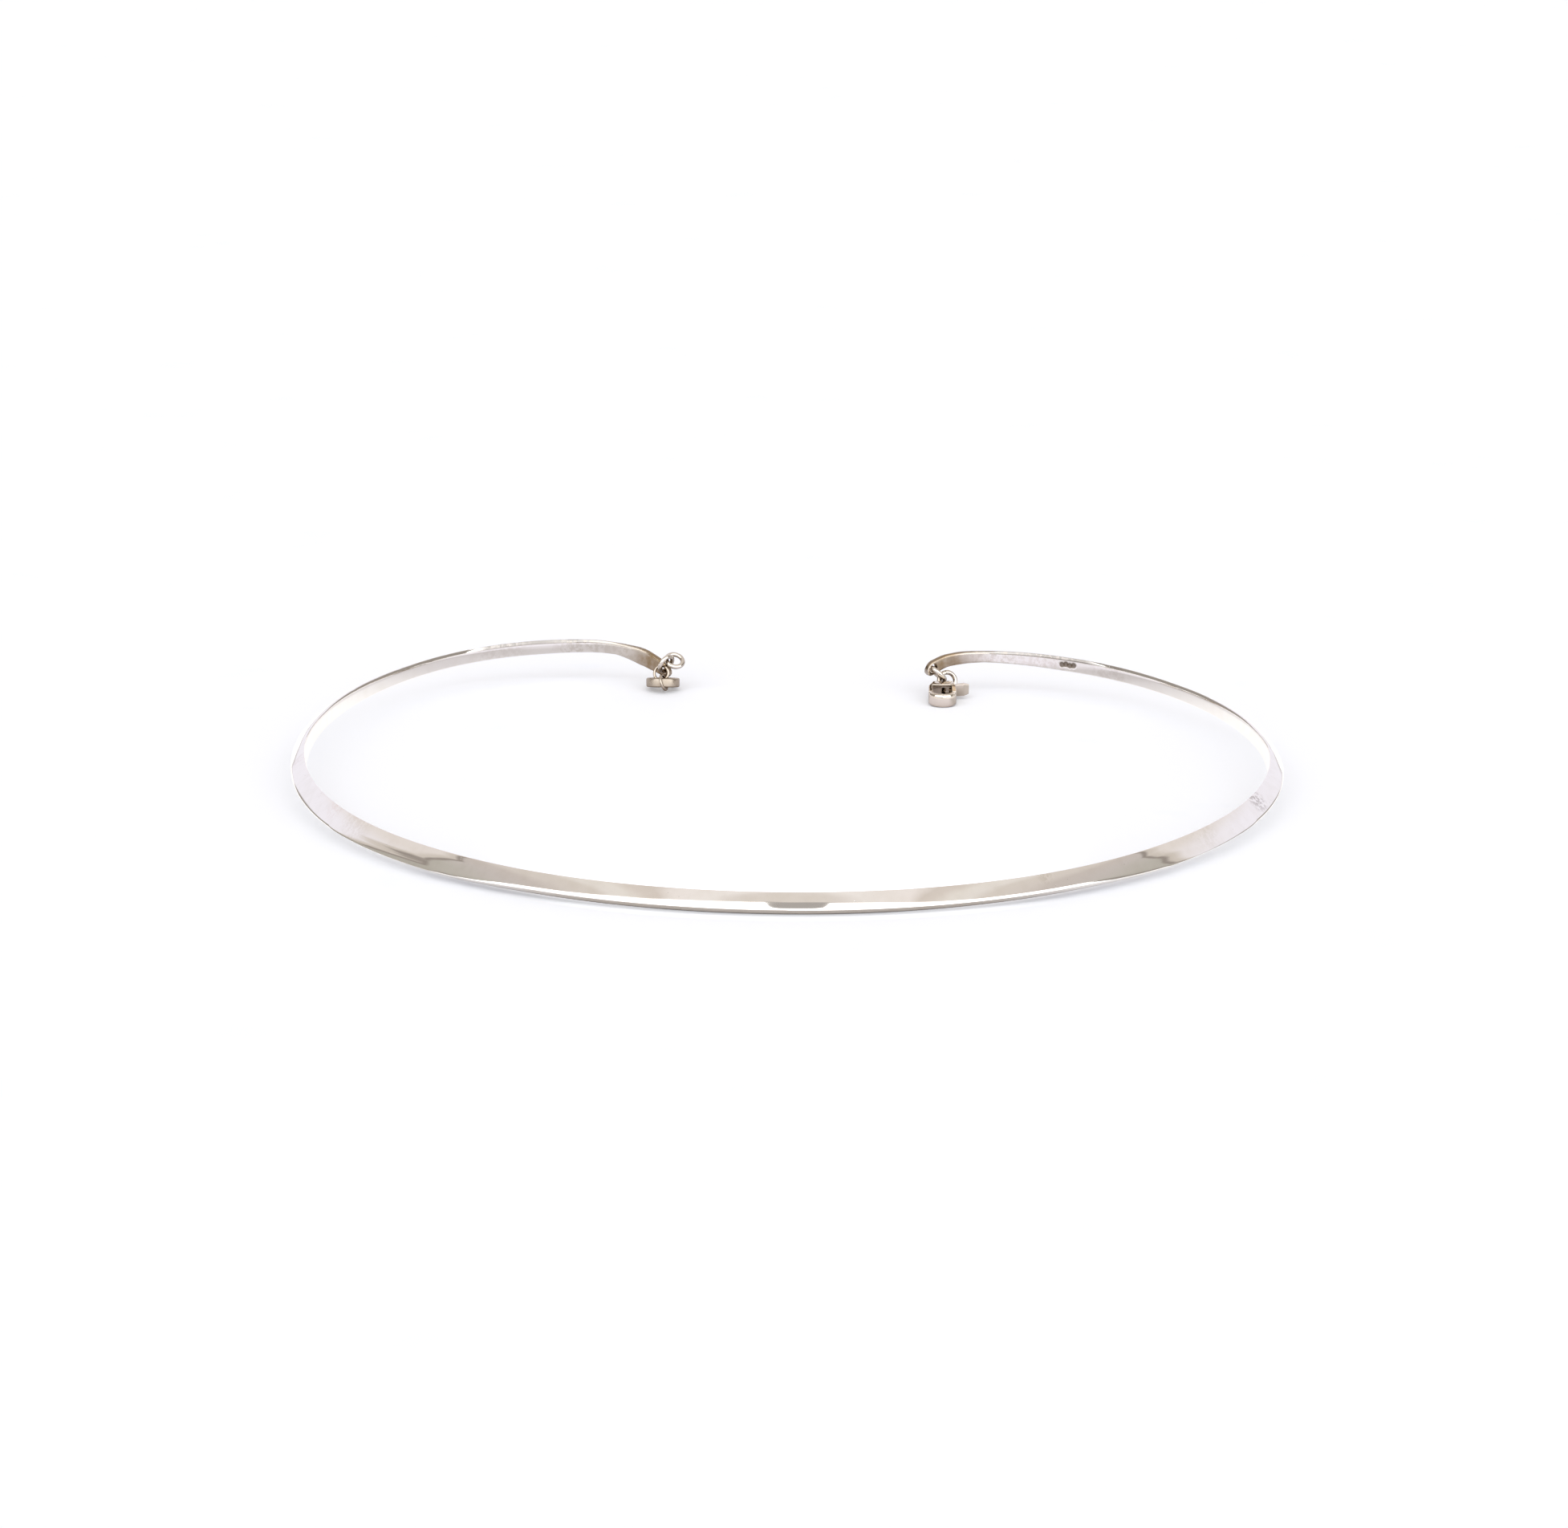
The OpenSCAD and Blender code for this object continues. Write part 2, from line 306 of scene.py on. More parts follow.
def end_share(gap):
    """How much of its height the band keeps at the round end of a tip"""
    r = TIP_END_HEIGHT / 2
    if gap >= r:
        return 1
    return max(TIP_END_LEAST, math.sqrt(max(r * r - (r - gap) ** 2, 0)) / r)


def droop(side, gap):
    tip = TIPS[side]
    if gap > tip["droop_length"]:
        return 0.0
    return tip["droop"] * (1 - gap / tip["droop_length"]) ** 2


def crispness(travel):
    """How sharp the outer ridge is: blunt in front, a knife edge at the quarters"""
    from_front = abs(travel) if travel < 0 else travel - CRISP_RIGHT_SHIFT
    share = lookup(from_front, CRISP_AT, CRISP_SHARE)
    return share * share * (3 - 2 * share)


def rounded_section(flat, crisp, depth, height):
    """One closed section in millimetres, its corners rounded by the table's third column"""
    corners = []
    for knife, sharp, plate in zip(KNIFE_SECTION, CRISP_SECTION, PLATE_SECTION):
        edge = [(1 - crisp) * k + crisp * s for k, s in zip(knife, sharp)]
        x, y, reach = [(1 - flat) * e + flat * p for e, p in zip(edge, plate)]
        corners.append((np.array([x * depth, y * height]), reach))
    count = len(corners)
    points = []
    for i in range(count):
        here, reach = corners[i]
        before, after = corners[i - 1][0] - here, corners[(i + 1) % count][0] - here
        start = here + before * min(0.5, reach / np.linalg.norm(before))
        end = here + after * min(0.5, reach / np.linalg.norm(after))
        for k in range(CORNER_STEPS):
            t = k / (CORNER_STEPS - 1)
            points.append((1 - t) ** 2 * start + 2 * t * (1 - t) * here + t**2 * end)
    return np.array(points)


def leaned(points):
    c, s = math.cos(TILT), math.sin(TILT)
    out = points.copy()
    out[..., 1] = points[..., 1] * c - points[..., 2] * s
    out[..., 2] = points[..., 1] * s + points[..., 2] * c
    return out


def to_table(points):
    """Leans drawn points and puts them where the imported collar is"""
    return leaned(points) + SHIFT


def forged_wave(along, amount):
    return amount * sum(share * math.sin(along * pace + start) for share, pace, start in HAMMER)


def nick(travel):
    """A small nick wherever three waves of unlike length meet"""
    waves = math.sin(travel * 2.9) * math.sin(travel * 1.31 + 0.7) * math.sin(travel * 0.47)
    return max(0, waves - 0.35)


def worn_section(side, gap, travel, size, sizes):
    """One section with its forged waves and the nicks of its top edge"""
    height, depth, flat = size
    section = rounded_section(flat, crispness(travel), depth, height)
    wave = forged_wave(travel, sizes.hammer_waves) * (1 - flat)
    lift = forged_wave(travel * 0.7 + 9, sizes.hammer_waves) * (1 - flat)
    top = section[:, 1] > 0.8 * height
    outer = section[:, 0] > 0.6 * depth
    section[outer, 0] += wave
    section[top, 1] += lift * 0.6
    if NICKED_STRETCH[0] < gap < NICKED_STRETCH[1]:
        section[top, 1] -= sizes.edge_nicks * nick(travel) * NICK_SHARE[side]
    return section


def arm_sections(side, sizes):
    """Rings of points for one arm, from the front to the tip, and their travel from the front"""
    rings, along = [], []
    path = fine_path(side)
    total = path[0, 3]
    for x, y, heading, gap in path:
        full, depth, flat, base = band_size(side, gap, sizes)
        height = full * end_share(gap)
        base += (full - height) / 2 - droop(side, gap)
        travel = side * (total - gap)
        section = worn_section(side, gap, travel, (height, depth, flat), sizes)
        out = outward_vector(heading)
        ring = np.empty((len(section), 3))
        ring[:, 0] = side * (x + section[:, 0] * out[0])
        ring[:, 1] = y + section[:, 0] * out[1]
        ring[:, 2] = base + section[:, 1]
        rings.append(ring)
        along.append(travel)
    return rings, along


def hole_frame(side, sizes):
    """Middle of a tip's hole and the direction of its bore, before leaning"""
    x, y, heading, _ = coarse_path(side)[-1]
    out = outward_vector(heading)
    spot = np.array([x, y]) - HOLE_IN * heading_vector(heading) + TIP_THICKNESS / 2 * out
    middle = np.array([[side * spot[0], spot[1], sizes.arm_height / 2 - droop(side, HOLE_IN)]])
    bore = np.array([[side * out[0], out[1], 0.0]])
    return middle, bore


# Meshes


def new_piece(name, verts_mm, faces, body, *nodes):
    mesh = bpy.data.meshes.new(name)
    mesh.from_pydata((np.asarray(verts_mm) * MM).tolist(), [], faces)
    mesh.update()
    piece = bpy.data.objects.new(name, mesh)
    bpy.context.scene.collection.objects.link(piece)
    mesh.shade_smooth()
    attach(piece, body)
    if nodes:
        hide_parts(*nodes)
    return piece


def swept_faces(ring_count, ring_size, closed=False):
    faces = []
    last = ring_count if closed else ring_count - 1
    for j in range(last):
        a, b = j * ring_size, ((j + 1) % ring_count) * ring_size
        for i in range(ring_size):
            k = (i + 1) % ring_size
            faces.append((a + i, a + k, b + k, b + i))
    if not closed:
        faces.append(tuple(range(ring_size - 1, -1, -1)))
        faces.append(tuple((ring_count - 1) * ring_size + i for i in range(ring_size)))
    return faces


def apply_modifiers(piece):
    evaluated = piece.evaluated_get(bpy.context.evaluated_depsgraph_get())
    done = bpy.data.meshes.new_from_object(evaluated)
    piece.modifiers.clear()
    old = piece.data
    piece.data = done
    bpy.data.meshes.remove(old)


def outward(piece):
    shape = bmesh.new()
    shape.from_mesh(piece.data)
    bmesh.ops.recalc_face_normals(shape, faces=shape.faces)
    shape.to_mesh(piece.data)
    shape.free()


def weld(piece):
    """Joins doubled points and drops faces with no area, so that a drill cuts cleanly"""
    shape = bmesh.new()
    shape.from_mesh(piece.data)
    bmesh.ops.remove_doubles(shape, verts=shape.verts, dist=WELD * MM)
    bmesh.ops.dissolve_degenerate(shape, edges=shape.edges, dist=WELD * MM)
    shape.to_mesh(piece.data)
    shape.free()


def soften_shading(piece, sharp_degrees):
    """Smooth shading that keeps wide faces true next to their narrow rounded edges"""
    piece.data.shade_smooth()
    piece.data.set_sharp_from_angle(angle=math.radians(sharp_degrees))
    weighted = piece.modifiers.new("true faces", "WEIGHTED_NORMAL")
    weighted.mode = "FACE_AREA_WITH_ANGLE"
    weighted.keep_sharp = True


def plain_object(name, verts, faces):
    mesh = bpy.data.meshes.new(name)
    mesh.from_pydata(np.asarray(verts).tolist(), [], faces)
    mesh.update()
    piece = bpy.data.objects.new(name, mesh)
    bpy.context.scene.collection.objects.link(piece)
    outward(piece)
    return piece


def cut(piece, cutter, operation="DIFFERENCE"):
    tool = piece.modifiers.new("cut", "BOOLEAN")
    tool.operation = operation
    tool.solver = "EXACT"
    tool.object = cutter
    bpy.context.view_layer.update()
    apply_modifiers(piece)
    bpy.data.objects.remove(cutter, do_unlink=True)


def turned_solid(profile, steps):
    """Points and faces of a solid turned about z from rows of (radius, height), with flat ends"""
    points = []
    for r, z in profile:
        for k in range(steps):
            a = 2 * math.pi * k / steps
            points.append((r * math.cos(a), r * math.sin(a), z))
    return np.array(points), swept_faces(len(profile), steps)


def turned_ring(profile, steps):
    """Points and faces of a ring: a closed profile of (radius, height) turned about z"""
    rings = []
    for k in range(steps):
        a = 2 * math.pi * k / steps
        rings.append([(r * math.cos(a), r * math.sin(a), z) for r, z in profile])
    return np.array(rings).reshape(-1, 3), swept_faces(steps, len(profile), closed=True)


def frame_from_axis(axis):
    axis = np.asarray(axis, float) / np.linalg.norm(axis)
    helper = np.array([0, 0, 1.0]) if abs(axis[2]) < 0.9 else np.array([1.0, 0, 0])
    u = np.cross(helper, axis)
    u /= np.linalg.norm(u)
    return np.stack([u, np.cross(axis, u), axis], axis=1)


def node_points(node):
    """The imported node's own points in millimetres"""
    mesh = frame["nodes"][node].data
    points = np.empty(len(mesh.vertices) * 3)
    mesh.vertices.foreach_get("co", points)
    return points.reshape(-1, 3) / MM


def ring_lie(node):
    """Middle, axis, mean radius and wire radius of a packed round ring"""
    points = np.unique(node_points(node).round(5), axis=0)
    low, high = points.min(0), points.max(0)
    middle = (low + high) / 2
    for _ in range(20):
        rays = points - middle
        _, _, rows = np.linalg.svd(rays - rays.mean(0), full_matrices=False)
        axis = rows[2]
        flat = rays - np.outer(rays @ axis, axis)
        spread = np.linalg.norm(flat, axis=1)
        far = flat[spread > np.quantile(spread, 0.9)]
        middle = middle + (far.max(0) + far.min(0)) / 2 * 0.5
    rays = points - middle
    across = rays @ axis
    middle = middle + axis * (across.max() + across.min()) / 2
    rays = points - middle
    flat = np.linalg.norm(rays - np.outer(rays @ axis, axis), axis=1)
    return middle, axis, (flat.max() + flat.min()) / 2, (flat.max() - flat.min()) / 2


# The silver

# Colours: the dark edge film, which also paints a dark reflection; the brown tarnish and painted shade in
# hollows; the pits; the punch marks
EDGE_FILM_AND_DARK_REFLECTION = (0.20, 0.18, 0.165)
HOLLOW_TARNISH_AND_SHADE = (0.22, 0.15, 0.085)
PIT_DIRT = (0.35, 0.31, 0.26)
MARK_DIRT = (0.13, 0.095, 0.06)
# How near a wall or the table has to be for the brown tarnish and painted shade of the
# hollows, and how deep the bumps are: the fine scratches and the slow unevenness, all in metres
HOLLOW_REACH = 0.0022
SCRATCH_DEPTH = 0.000012
SLOW_DEPTH = 0.00004


class Nodes:
    """Short hand for a shader's nodes"""

    def __init__(self, tree):
        self.tree = tree
        tree.nodes.clear()

    def add(self, kind, inputs=(), **settings):
        node = self.tree.nodes.new(kind)
        for key, value in settings.items():
            setattr(node, key, value)
        for key, value in dict(inputs).items():
            self.feed(node, key, value)
        return node

    def feed(self, node, key, value):
        if hasattr(value, "is_output"):
            self.tree.links.new(value, node.inputs[key])
        else:
            node.inputs[key].default_value = value

    def math(self, operation, a, b=None, c=None):
        node = self.add("ShaderNodeMath", {0: a}, operation=operation)
        if b is not None:
            self.feed(node, 1, b)
        if c is not None:
            self.feed(node, 2, c)
        return node.outputs[0]

    def rise(self, value, low, high):
        """0 below low, 1 above high, smooth between"""
        node = self.add("ShaderNodeMapRange", interpolation_type="SMOOTHSTEP")
        for key, amount in (("Value", value), ("From Min", low), ("From Max", high)):
            self.feed(node, key, amount)
        return node.outputs["Result"]

    def fall(self, value, low, high):
        """1 below low, 0 above high, smooth between"""
        return self.math("SUBTRACT", 1.0, self.rise(value, low, high))

    def ramp(self, value, low, high, out_low, out_high):
        node = self.add("ShaderNodeMapRange")
        rows = (("Value", value), ("From Min", low), ("From Max", high))
        for key, amount in (*rows, ("To Min", out_low), ("To Max", out_high)):
            self.feed(node, key, amount)
        return node.outputs["Result"]

    def mix(self, factor, a, b):
        node = self.add("ShaderNodeMix", data_type="RGBA", clamp_factor=True)
        self.feed(node, 0, factor)
        self.feed(node, 6, a)
        self.feed(node, 7, b)
        return node.outputs[2]

    def noise(self, vector, scale, detail=2.0, roughness=0.5):
        inputs = {"Vector": vector, "Scale": scale, "Detail": detail, "Roughness": roughness}
        return self.add("ShaderNodeTexNoise", inputs).outputs["Fac"]

    def near(self, position, centre, radius):
        """1 at a point in millimetres, 0 beyond the radius"""
        node = self.add("ShaderNodeVectorMath", {0: position, 1: centre}, operation="DISTANCE")
        return self.fall(node.outputs["Value"], radius * 0.25, radius)


def fine_scratches(n, place, position, band):
    """Scratches drawn out along the band, or across a small piece"""
    if band:
        drawn = n.add("ShaderNodeMapping", {"Vector": place.outputs["UV"], "Scale": (0.12, 4.5, 1.0)})
    else:
        drawn = n.add("ShaderNodeMapping", {"Vector": position, "Scale": (1.5, 1.5, 7.0)})
    return n.noise(drawn.outputs["Vector"], 1.0, 1.0, 0.5)


def scattered_pits(n, position):
    """Tiny pits, in some patches only"""
    cells = n.add("ShaderNodeTexVoronoi", {"Vector": position, "Scale": 1.1}, feature="F1")
    pit = n.fall(cells.outputs["Distance"], 0.04, 0.10)
    return n.math("MULTIPLY", pit, n.rise(n.noise(position, 0.4, 1.0), 0.56, 0.64))


def clean_silver(n, finish, rough, shade, smear, scratch):
    """Colour and roughness of the bare metal, a little dimmer where it is smeared; shade makes a piece's
    whole silver darker and warmer, tarnish and painted shade together
    """
    silver = tuple(c * f for c, f in zip(finish.silver, shade))
    dim = tuple(c * f for c, f in zip(silver, (0.965, 0.96, 0.95)))
    colour = n.mix(n.rise(smear, 0.4, 0.75), (*silver, 1), (*dim, 1))
    base = finish.polish * rough
    rough_value = n.ramp(smear, 0.3, 0.75, base * 0.8, base * 1.5)
    return colour, n.math("ADD", rough_value, n.ramp(scratch, 0.45, 0.8, 0.0, 0.02))


def with_brown_film(n, position, colour, rough_value, tint, tarnish):
    """Brown film at each (centre, radius, strength), thin in patches"""
    patchy = n.ramp(n.noise(position, 1.1, 3.0), 0.35, 0.65, 0.75, 1.0)
    for centre, radius, strength in tarnish:
        brown = n.math("MULTIPLY", n.math("MULTIPLY", n.near(position, centre, radius), strength), patchy)
        colour = n.mix(brown, colour, (*tint, 1))
        rough_value = n.math("ADD", rough_value, n.math("MULTIPLY", brown, 0.14))
    return colour, rough_value


def with_specks(n, position, colour, rough_value, stains):
    """Specks of dull metal at each (centre, radius, strength, tint)"""
    specks = n.rise(n.noise(position, 1.7, 3.0, 0.6), 0.42, 0.58)
    for centre, radius, strength, tint in stains:
        patch = n.math("MULTIPLY", n.math("MULTIPLY", n.near(position, centre, radius), strength), specks)
        colour = n.mix(patch, colour, (*tint, 1))
        rough_value = n.math("ADD", rough_value, n.math("MULTIPLY", patch, 0.08))
    return colour, rough_value


def silver_material(
    name, finish, rough=1.0, shade=(1, 1, 1), hollow=0.0, stains=(), tarnish=(), marks=(), band=False
):
    """Polished silver with fine scratches, faint smears, pits and brown film where it gathers; its dark edge
    film also paints a dark reflection, and its hollows get painted shade with their tarnish
    """
    material = bpy.data.materials.new(name)
    material.use_nodes = True
    n = Nodes(material.node_tree)
    place = n.add("ShaderNodeTexCoord")
    scale = n.add("ShaderNodeMapping", {"Vector": place.outputs["Object"], "Scale": (1000, 1000, 1000)})
    position = scale.outputs["Vector"]

    smear = n.noise(position, 0.5, 2.0, 0.5)
    cloud = n.noise(position, 0.14, 1.0)
    scratch = fine_scratches(n, place, position, band)
    pit = scattered_pits(n, position)
    colour, rough_value = clean_silver(n, finish, rough, shade, smear, scratch)
    # A dark film along the top edges, which also paints the dark reflection they show
    if band:
        film_and_dark_reflection = n.add("ShaderNodeAttribute", attribute_name="film_and_dark_reflection").outputs["Fac"]
        colour = n.mix(n.math("MULTIPLY", film_and_dark_reflection, 0.95), colour, (*EDGE_FILM_AND_DARK_REFLECTION, 1))
    # Brown tarnish and painted shade where another part, a wall or the table is near
    if hollow:
        air = n.add("ShaderNodeAmbientOcclusion", {"Distance": HOLLOW_REACH}, samples=8).outputs["AO"]
        closed = n.fall(air, 0.15, 0.85)
        colour = n.mix(n.math("MULTIPLY", closed, hollow), colour, (*HOLLOW_TARNISH_AND_SHADE, 1))
    colour, rough_value = with_brown_film(n, position, colour, rough_value, finish.tarnish, tarnish)
    colour, rough_value = with_specks(n, position, colour, rough_value, stains)
    colour = n.mix(n.math("MULTIPLY", pit, 0.4), colour, (*PIT_DIRT, 1))

    height = n.math("MULTIPLY", scratch, finish.wear)
    height = n.math("SUBTRACT", height, n.math("MULTIPLY", pit, 0.8))
    for centre, radius in marks:
        mark = n.near(position, centre, radius)
        height = n.math("SUBTRACT", height, n.math("MULTIPLY", mark, 9.0))
        colour = n.mix(n.math("MULTIPLY", n.rise(mark, 0.15, 0.7), 0.85), colour, (*MARK_DIRT, 1))
    bump = n.add("ShaderNodeBump", {"Height": height, "Distance": SCRATCH_DEPTH, "Strength": 0.4})
    slow = n.add(
        "ShaderNodeBump",
        {"Height": cloud, "Distance": SLOW_DEPTH, "Strength": 0.4, "Normal": bump.outputs["Normal"]},
    )

    shader = n.add(
        "ShaderNodeBsdfPrincipled",
        {"Base Color": colour, "Roughness": rough_value, "Normal": slow.outputs["Normal"], "Metallic": 1.0},
    )
    n.add("ShaderNodeOutputMaterial", {"Surface": shader.outputs["BSDF"]})
    return material


def dress(piece, material):
    piece.data.materials.clear()
    piece.data.materials.append(material)


# The forged band

# Dull spots on the band: centre, radius, strength and tint
STAINS = (
    ((59.8, -17.2, 3.85), 2.8, 0.8, (0.46, 0.42, 0.40)),
    ((-63.8, -2.9, 4.0), 1.9, 0.5, (0.78, 0.69, 0.67)),
    ((-56.5, -24.7, 3.8), 2.4, 0.4, (0.84, 0.73, 0.68)),
    ((-53.0, -30.0, 3.6), 4.5, 0.35, (0.78, 0.73, 0.68)),
    ((51.0, -31.0, 3.5), 4.5, 0.3, (0.76, 0.73, 0.66)),
    ((31.2, -49.5, 2.8), 1.4, 0.35, (0.66, 0.62, 0.54)),
    ((-41.0, 54.2, 5.2), 6.0, 0.35, (0.70, 0.65, 0.62)),
    ((-29.0, 56.9, 5.2), 6.0, 0.5, (0.60, 0.55, 0.49)),
    ((-22.0, 55.5, 5.2), 4.0, 0.5, (0.55, 0.49, 0.42)),
    ((29.0, 52.5, 4.9), 6.0, 0.5, (0.58, 0.52, 0.46)),
    ((37.0, 51.0, 4.6), 6.0, 0.4, (0.66, 0.60, 0.56)),
    ((45.5, 46.0, 4.4), 5.0, 0.3, (0.66, 0.61, 0.58)),
)

# Brown film round the holes: the tip, the way from its hole, radius and strength
TARNISH = (
    (LEFT, (-1.2, 1.2, 0), 5.6, 1.0),
    (LEFT, (-6.0, 4.2, 1.5), 4.5, 0.3),
    (RIGHT, (0, 0, 0), 2.4, 0.6),
    (RIGHT, (2.0, 1.5, 0), 4.3, 0.95),
    (RIGHT, (5.5, 2.6, 0.5), 3.8, 0.4),
)

# Plain round punch marks on the inner face of the right arm: gap to the tip's end and
# share of the height
PUNCH_MARKS = ((20.2, 0.46), (20.8, 0.52), (21.4, 0.46), (22.0, 0.5))
PUNCH_RADIUS = 0.6

# How thick the dark film is, by the gap to the tip's end: on the top edge of the arms,
# on the facet below it, and on the top of the plates at the tips. The film also paints
# the dark reflection that these edges show.
EDGE_FILM_AND_REFLECTION_DEPTH = {
    LEFT: ((8, 12, 28, 32), (0, 1, 1, 0)),
    RIGHT: ((4, 8, 24, 29), (0, 1, 1, 0)),
}
FACET_FILM_AND_REFLECTION_DEPTH = {
    LEFT: ((6, 14, 28, 31), (0.4, 0.86, 0.86, 0)),
    RIGHT: ((4, 10, 24, 28), (0.75, 0.9, 0.9, 0)),
}
PLATE_FILM_AND_REFLECTION_DEPTH = ((7, 12), (0.88, 0))

# A countersink: how far out it reaches, how much wider it is there, how deep it goes
SINK_OUT = 0.3
SINK_WIDER = 0.32
SINK_DEEP = 0.05
DRILL_STEPS = 48


def make_collar(context):
    sizes, finish = context.scene.neck_ring_sizes, context.scene.silver_finish
    left, left_along = arm_sections(LEFT, sizes)
    right, right_along = arm_sections(RIGHT, sizes)
    rings = left[:0:-1] + right
    along = left_along[:0:-1] + right_along
    points = to_table(np.array(rings).reshape(-1, 3))
    collar = new_piece("collar_band", points, swept_faces(len(rings), len(rings[0])), RING_BODY, "collar")
    paint_along(collar, rings, along)
    paint_film_and_dark_reflection(collar, sizes)
    weld(collar)
    outward(collar)
    holes = {}
    for side in (LEFT, RIGHT):
        middle, bore = hole_frame(side, sizes)
        holes[side] = to_table(middle)[0]
        drill_tip(collar, holes[side], leaned(bore)[0])
    soften_shading(collar, 50)
    tarnish = tuple((tuple(holes[side] + np.array(way)), *rest) for side, way, *rest in TARNISH)
    marks = tuple((tuple(spot), PUNCH_RADIUS) for spot in punch_spots(sizes))
    forged = silver_material(
        "forged_silver", finish, stains=STAINS, tarnish=tarnish, marks=marks, band=True
    )
    dress(collar, forged)


def punch_spots(sizes):
    path = fine_path(RIGHT)
    spots = []
    for gap, up in PUNCH_MARKS:
        row = path[np.argmin(abs(path[:, 3] - gap))]
        full, _, _, base = band_size(RIGHT, gap, sizes)
        spots.append(to_table(np.array([[row[0], row[1], base + full * up]]))[0])
    return spots


def paint_film_and_dark_reflection(collar, sizes):
    """Marks the thin dark film along the top of the arms and the plates, which also paints the dark
    reflection of these edges
    """
    corner = TOP_CORNER * CORNER_STEPS
    edge = slice(corner, corner + CORNER_STEPS)
    facet = slice(corner + CORNER_STEPS - 1, corner + CORNER_STEPS + 3)
    plate = slice(corner - 2 * CORNER_STEPS, corner + CORNER_STEPS + 2)
    values = []
    for side in (LEFT, RIGHT):
        rows = []
        for _, _, _, gap in fine_path(side):
            _, _, flat, _ = band_size(side, gap, sizes)
            row = np.zeros(len(KNIFE_SECTION) * CORNER_STEPS)
            row[edge] = (1 - flat) * lookup(gap, *EDGE_FILM_AND_REFLECTION_DEPTH[side])
            row[facet] = (1 - flat) * lookup(gap, *FACET_FILM_AND_REFLECTION_DEPTH[side])
            row[plate] = np.maximum(row[plate], lookup(gap, *PLATE_FILM_AND_REFLECTION_DEPTH))
            rows.append(row)
        values.append(rows[:0:-1] if side == LEFT else rows)
    layer = collar.data.attributes.new("film_and_dark_reflection", "FLOAT", "POINT")
    layer.data.foreach_set("value", np.concatenate([np.concatenate(rows) for rows in values]))


def paint_along(piece, rings, along):
    """UV: u runs along the band and v round its section, both in millimetres"""
    ring_size = len(rings[0])
    round_at = []
    for ring in rings:
        steps = np.linalg.norm(np.roll(ring, -1, axis=0) - ring, axis=1)
        round_at.append(np.concatenate([[0], np.cumsum(steps)[:-1]]))
    layer = piece.data.uv_layers.new(name="along_the_band")
    values = []
    for face in piece.data.polygons:
        ids = list(face.vertices)
        wraps = len(ids) == 4 and {i % ring_size for i in ids} == {0, ring_size - 1}
        for i in ids:
            row, spot = divmod(i, ring_size)
            v = round_at[row][spot]
            if wraps and spot == 0:
                v = round_at[row][-1] + np.linalg.norm(rings[row][0] - rings[row][-1])
            values += [along[row], v]
    layer.data.foreach_set("uv", values)


def drill_tip(collar, middle, bore):
    """Drills a tip and breaks both edges of the hole, in one cut"""
    turn = frame_from_axis(bore)
    r, half = HOLE_DIAMETER / 2, TIP_THICKNESS / 2
    profile = (
        (r + SINK_WIDER, -half - SINK_OUT), (r, -half + SINK_DEEP),
        (r, half - SINK_DEEP), (r + SINK_WIDER, half + SINK_OUT),
    )
    points, faces = turned_solid(profile, DRILL_STEPS)
    placed = np.array([middle + turn @ point for point in points])
    cut(collar, plain_object("drill", placed * MM, faces))


# The rings and links

# Each ring's piece, its node, where its slit is, in radians, and how much fuller its
# wire is than the node's, so that it looks as sturdy as the real one
JUMP_RINGS = (
    ("tip_ring_left_wire", "tip_ring_left", 2.4, 0.004),
    ("second_ring_left_wire", "second_ring_left", 0.9, 0.022),
    ("tip_ring_right_wire", "tip_ring_right", 4.4, 0.022),
    ("second_ring_right_wire", "second_ring_right", 1.7, 0.022),
)
SMALL_LINKS = (
    ("small_link_1_wire", "small_link_1", 1.2, 0.025),
    ("small_link_2_wire", "small_link_2", 5.1, 0.025),
)
RING_SLIT = 0.05
LINK_SLIT = 0.03
RING_STEPS = 96
WIRE_STEPS = 28
# How much the wire thins at its two ends, and how far a ring is from round
END_THINNING = 0.035
OUT_OF_ROUND = 0.008
# The catch ring's lean in degrees, and the rounding of its edges
CATCH_TIP = 12
CATCH_EDGE = 0.22
EDGE_STEPS = 5


def wire_ring(name, node, material, slit_at, slit, fuller):
    """A round wire ring closed by hand, a little out of round, with its fine slit"""
    middle, axis, radius, wire = ring_lie(node)
    wire += fuller
    turn = frame_from_axis(axis)
    slit_angle = slit / radius
    rings = []
    for k in range(RING_STEPS + 1):
        a = slit_at + slit_angle / 2 + (2 * math.pi - slit_angle) * k / RING_STEPS
        ends = min(k, RING_STEPS - k)
        rounding = 1 - END_THINNING * max(0, 1 - ends / 1.5)
        out = np.array([math.cos(a), math.sin(a), 0])
        sag = 1 + OUT_OF_ROUND * math.sin(2 * a + slit_at)
        ring = []
        for j in range(WIRE_STEPS):
            b = 2 * math.pi * j / WIRE_STEPS
            offset = wire * rounding * (math.cos(b) * out + math.sin(b) * np.array([0, 0, 1]))
            ring.append(middle + turn @ (radius * sag * out + offset))
        rings.append(ring)
    points = np.array(rings).reshape(-1, 3)
    piece = new_piece(name, points, swept_faces(len(rings), WIRE_STEPS), RING_BODY, node)
    outward(piece)
    soften_shading(piece, 60)
    dress(piece, material)


def make_jump_rings(context):
    finish = context.scene.silver_finish
    # The rings' silver is darker and warmer, with brown in the hollows: tarnish and painted shade
    wire = silver_material("ring_wire_silver", finish, rough=1.6, shade=(0.80, 0.765, 0.72), hollow=0.95)
    for name, node, slit_at, fuller in JUMP_RINGS:
        wire_ring(name, node, wire, slit_at, RING_SLIT, fuller)


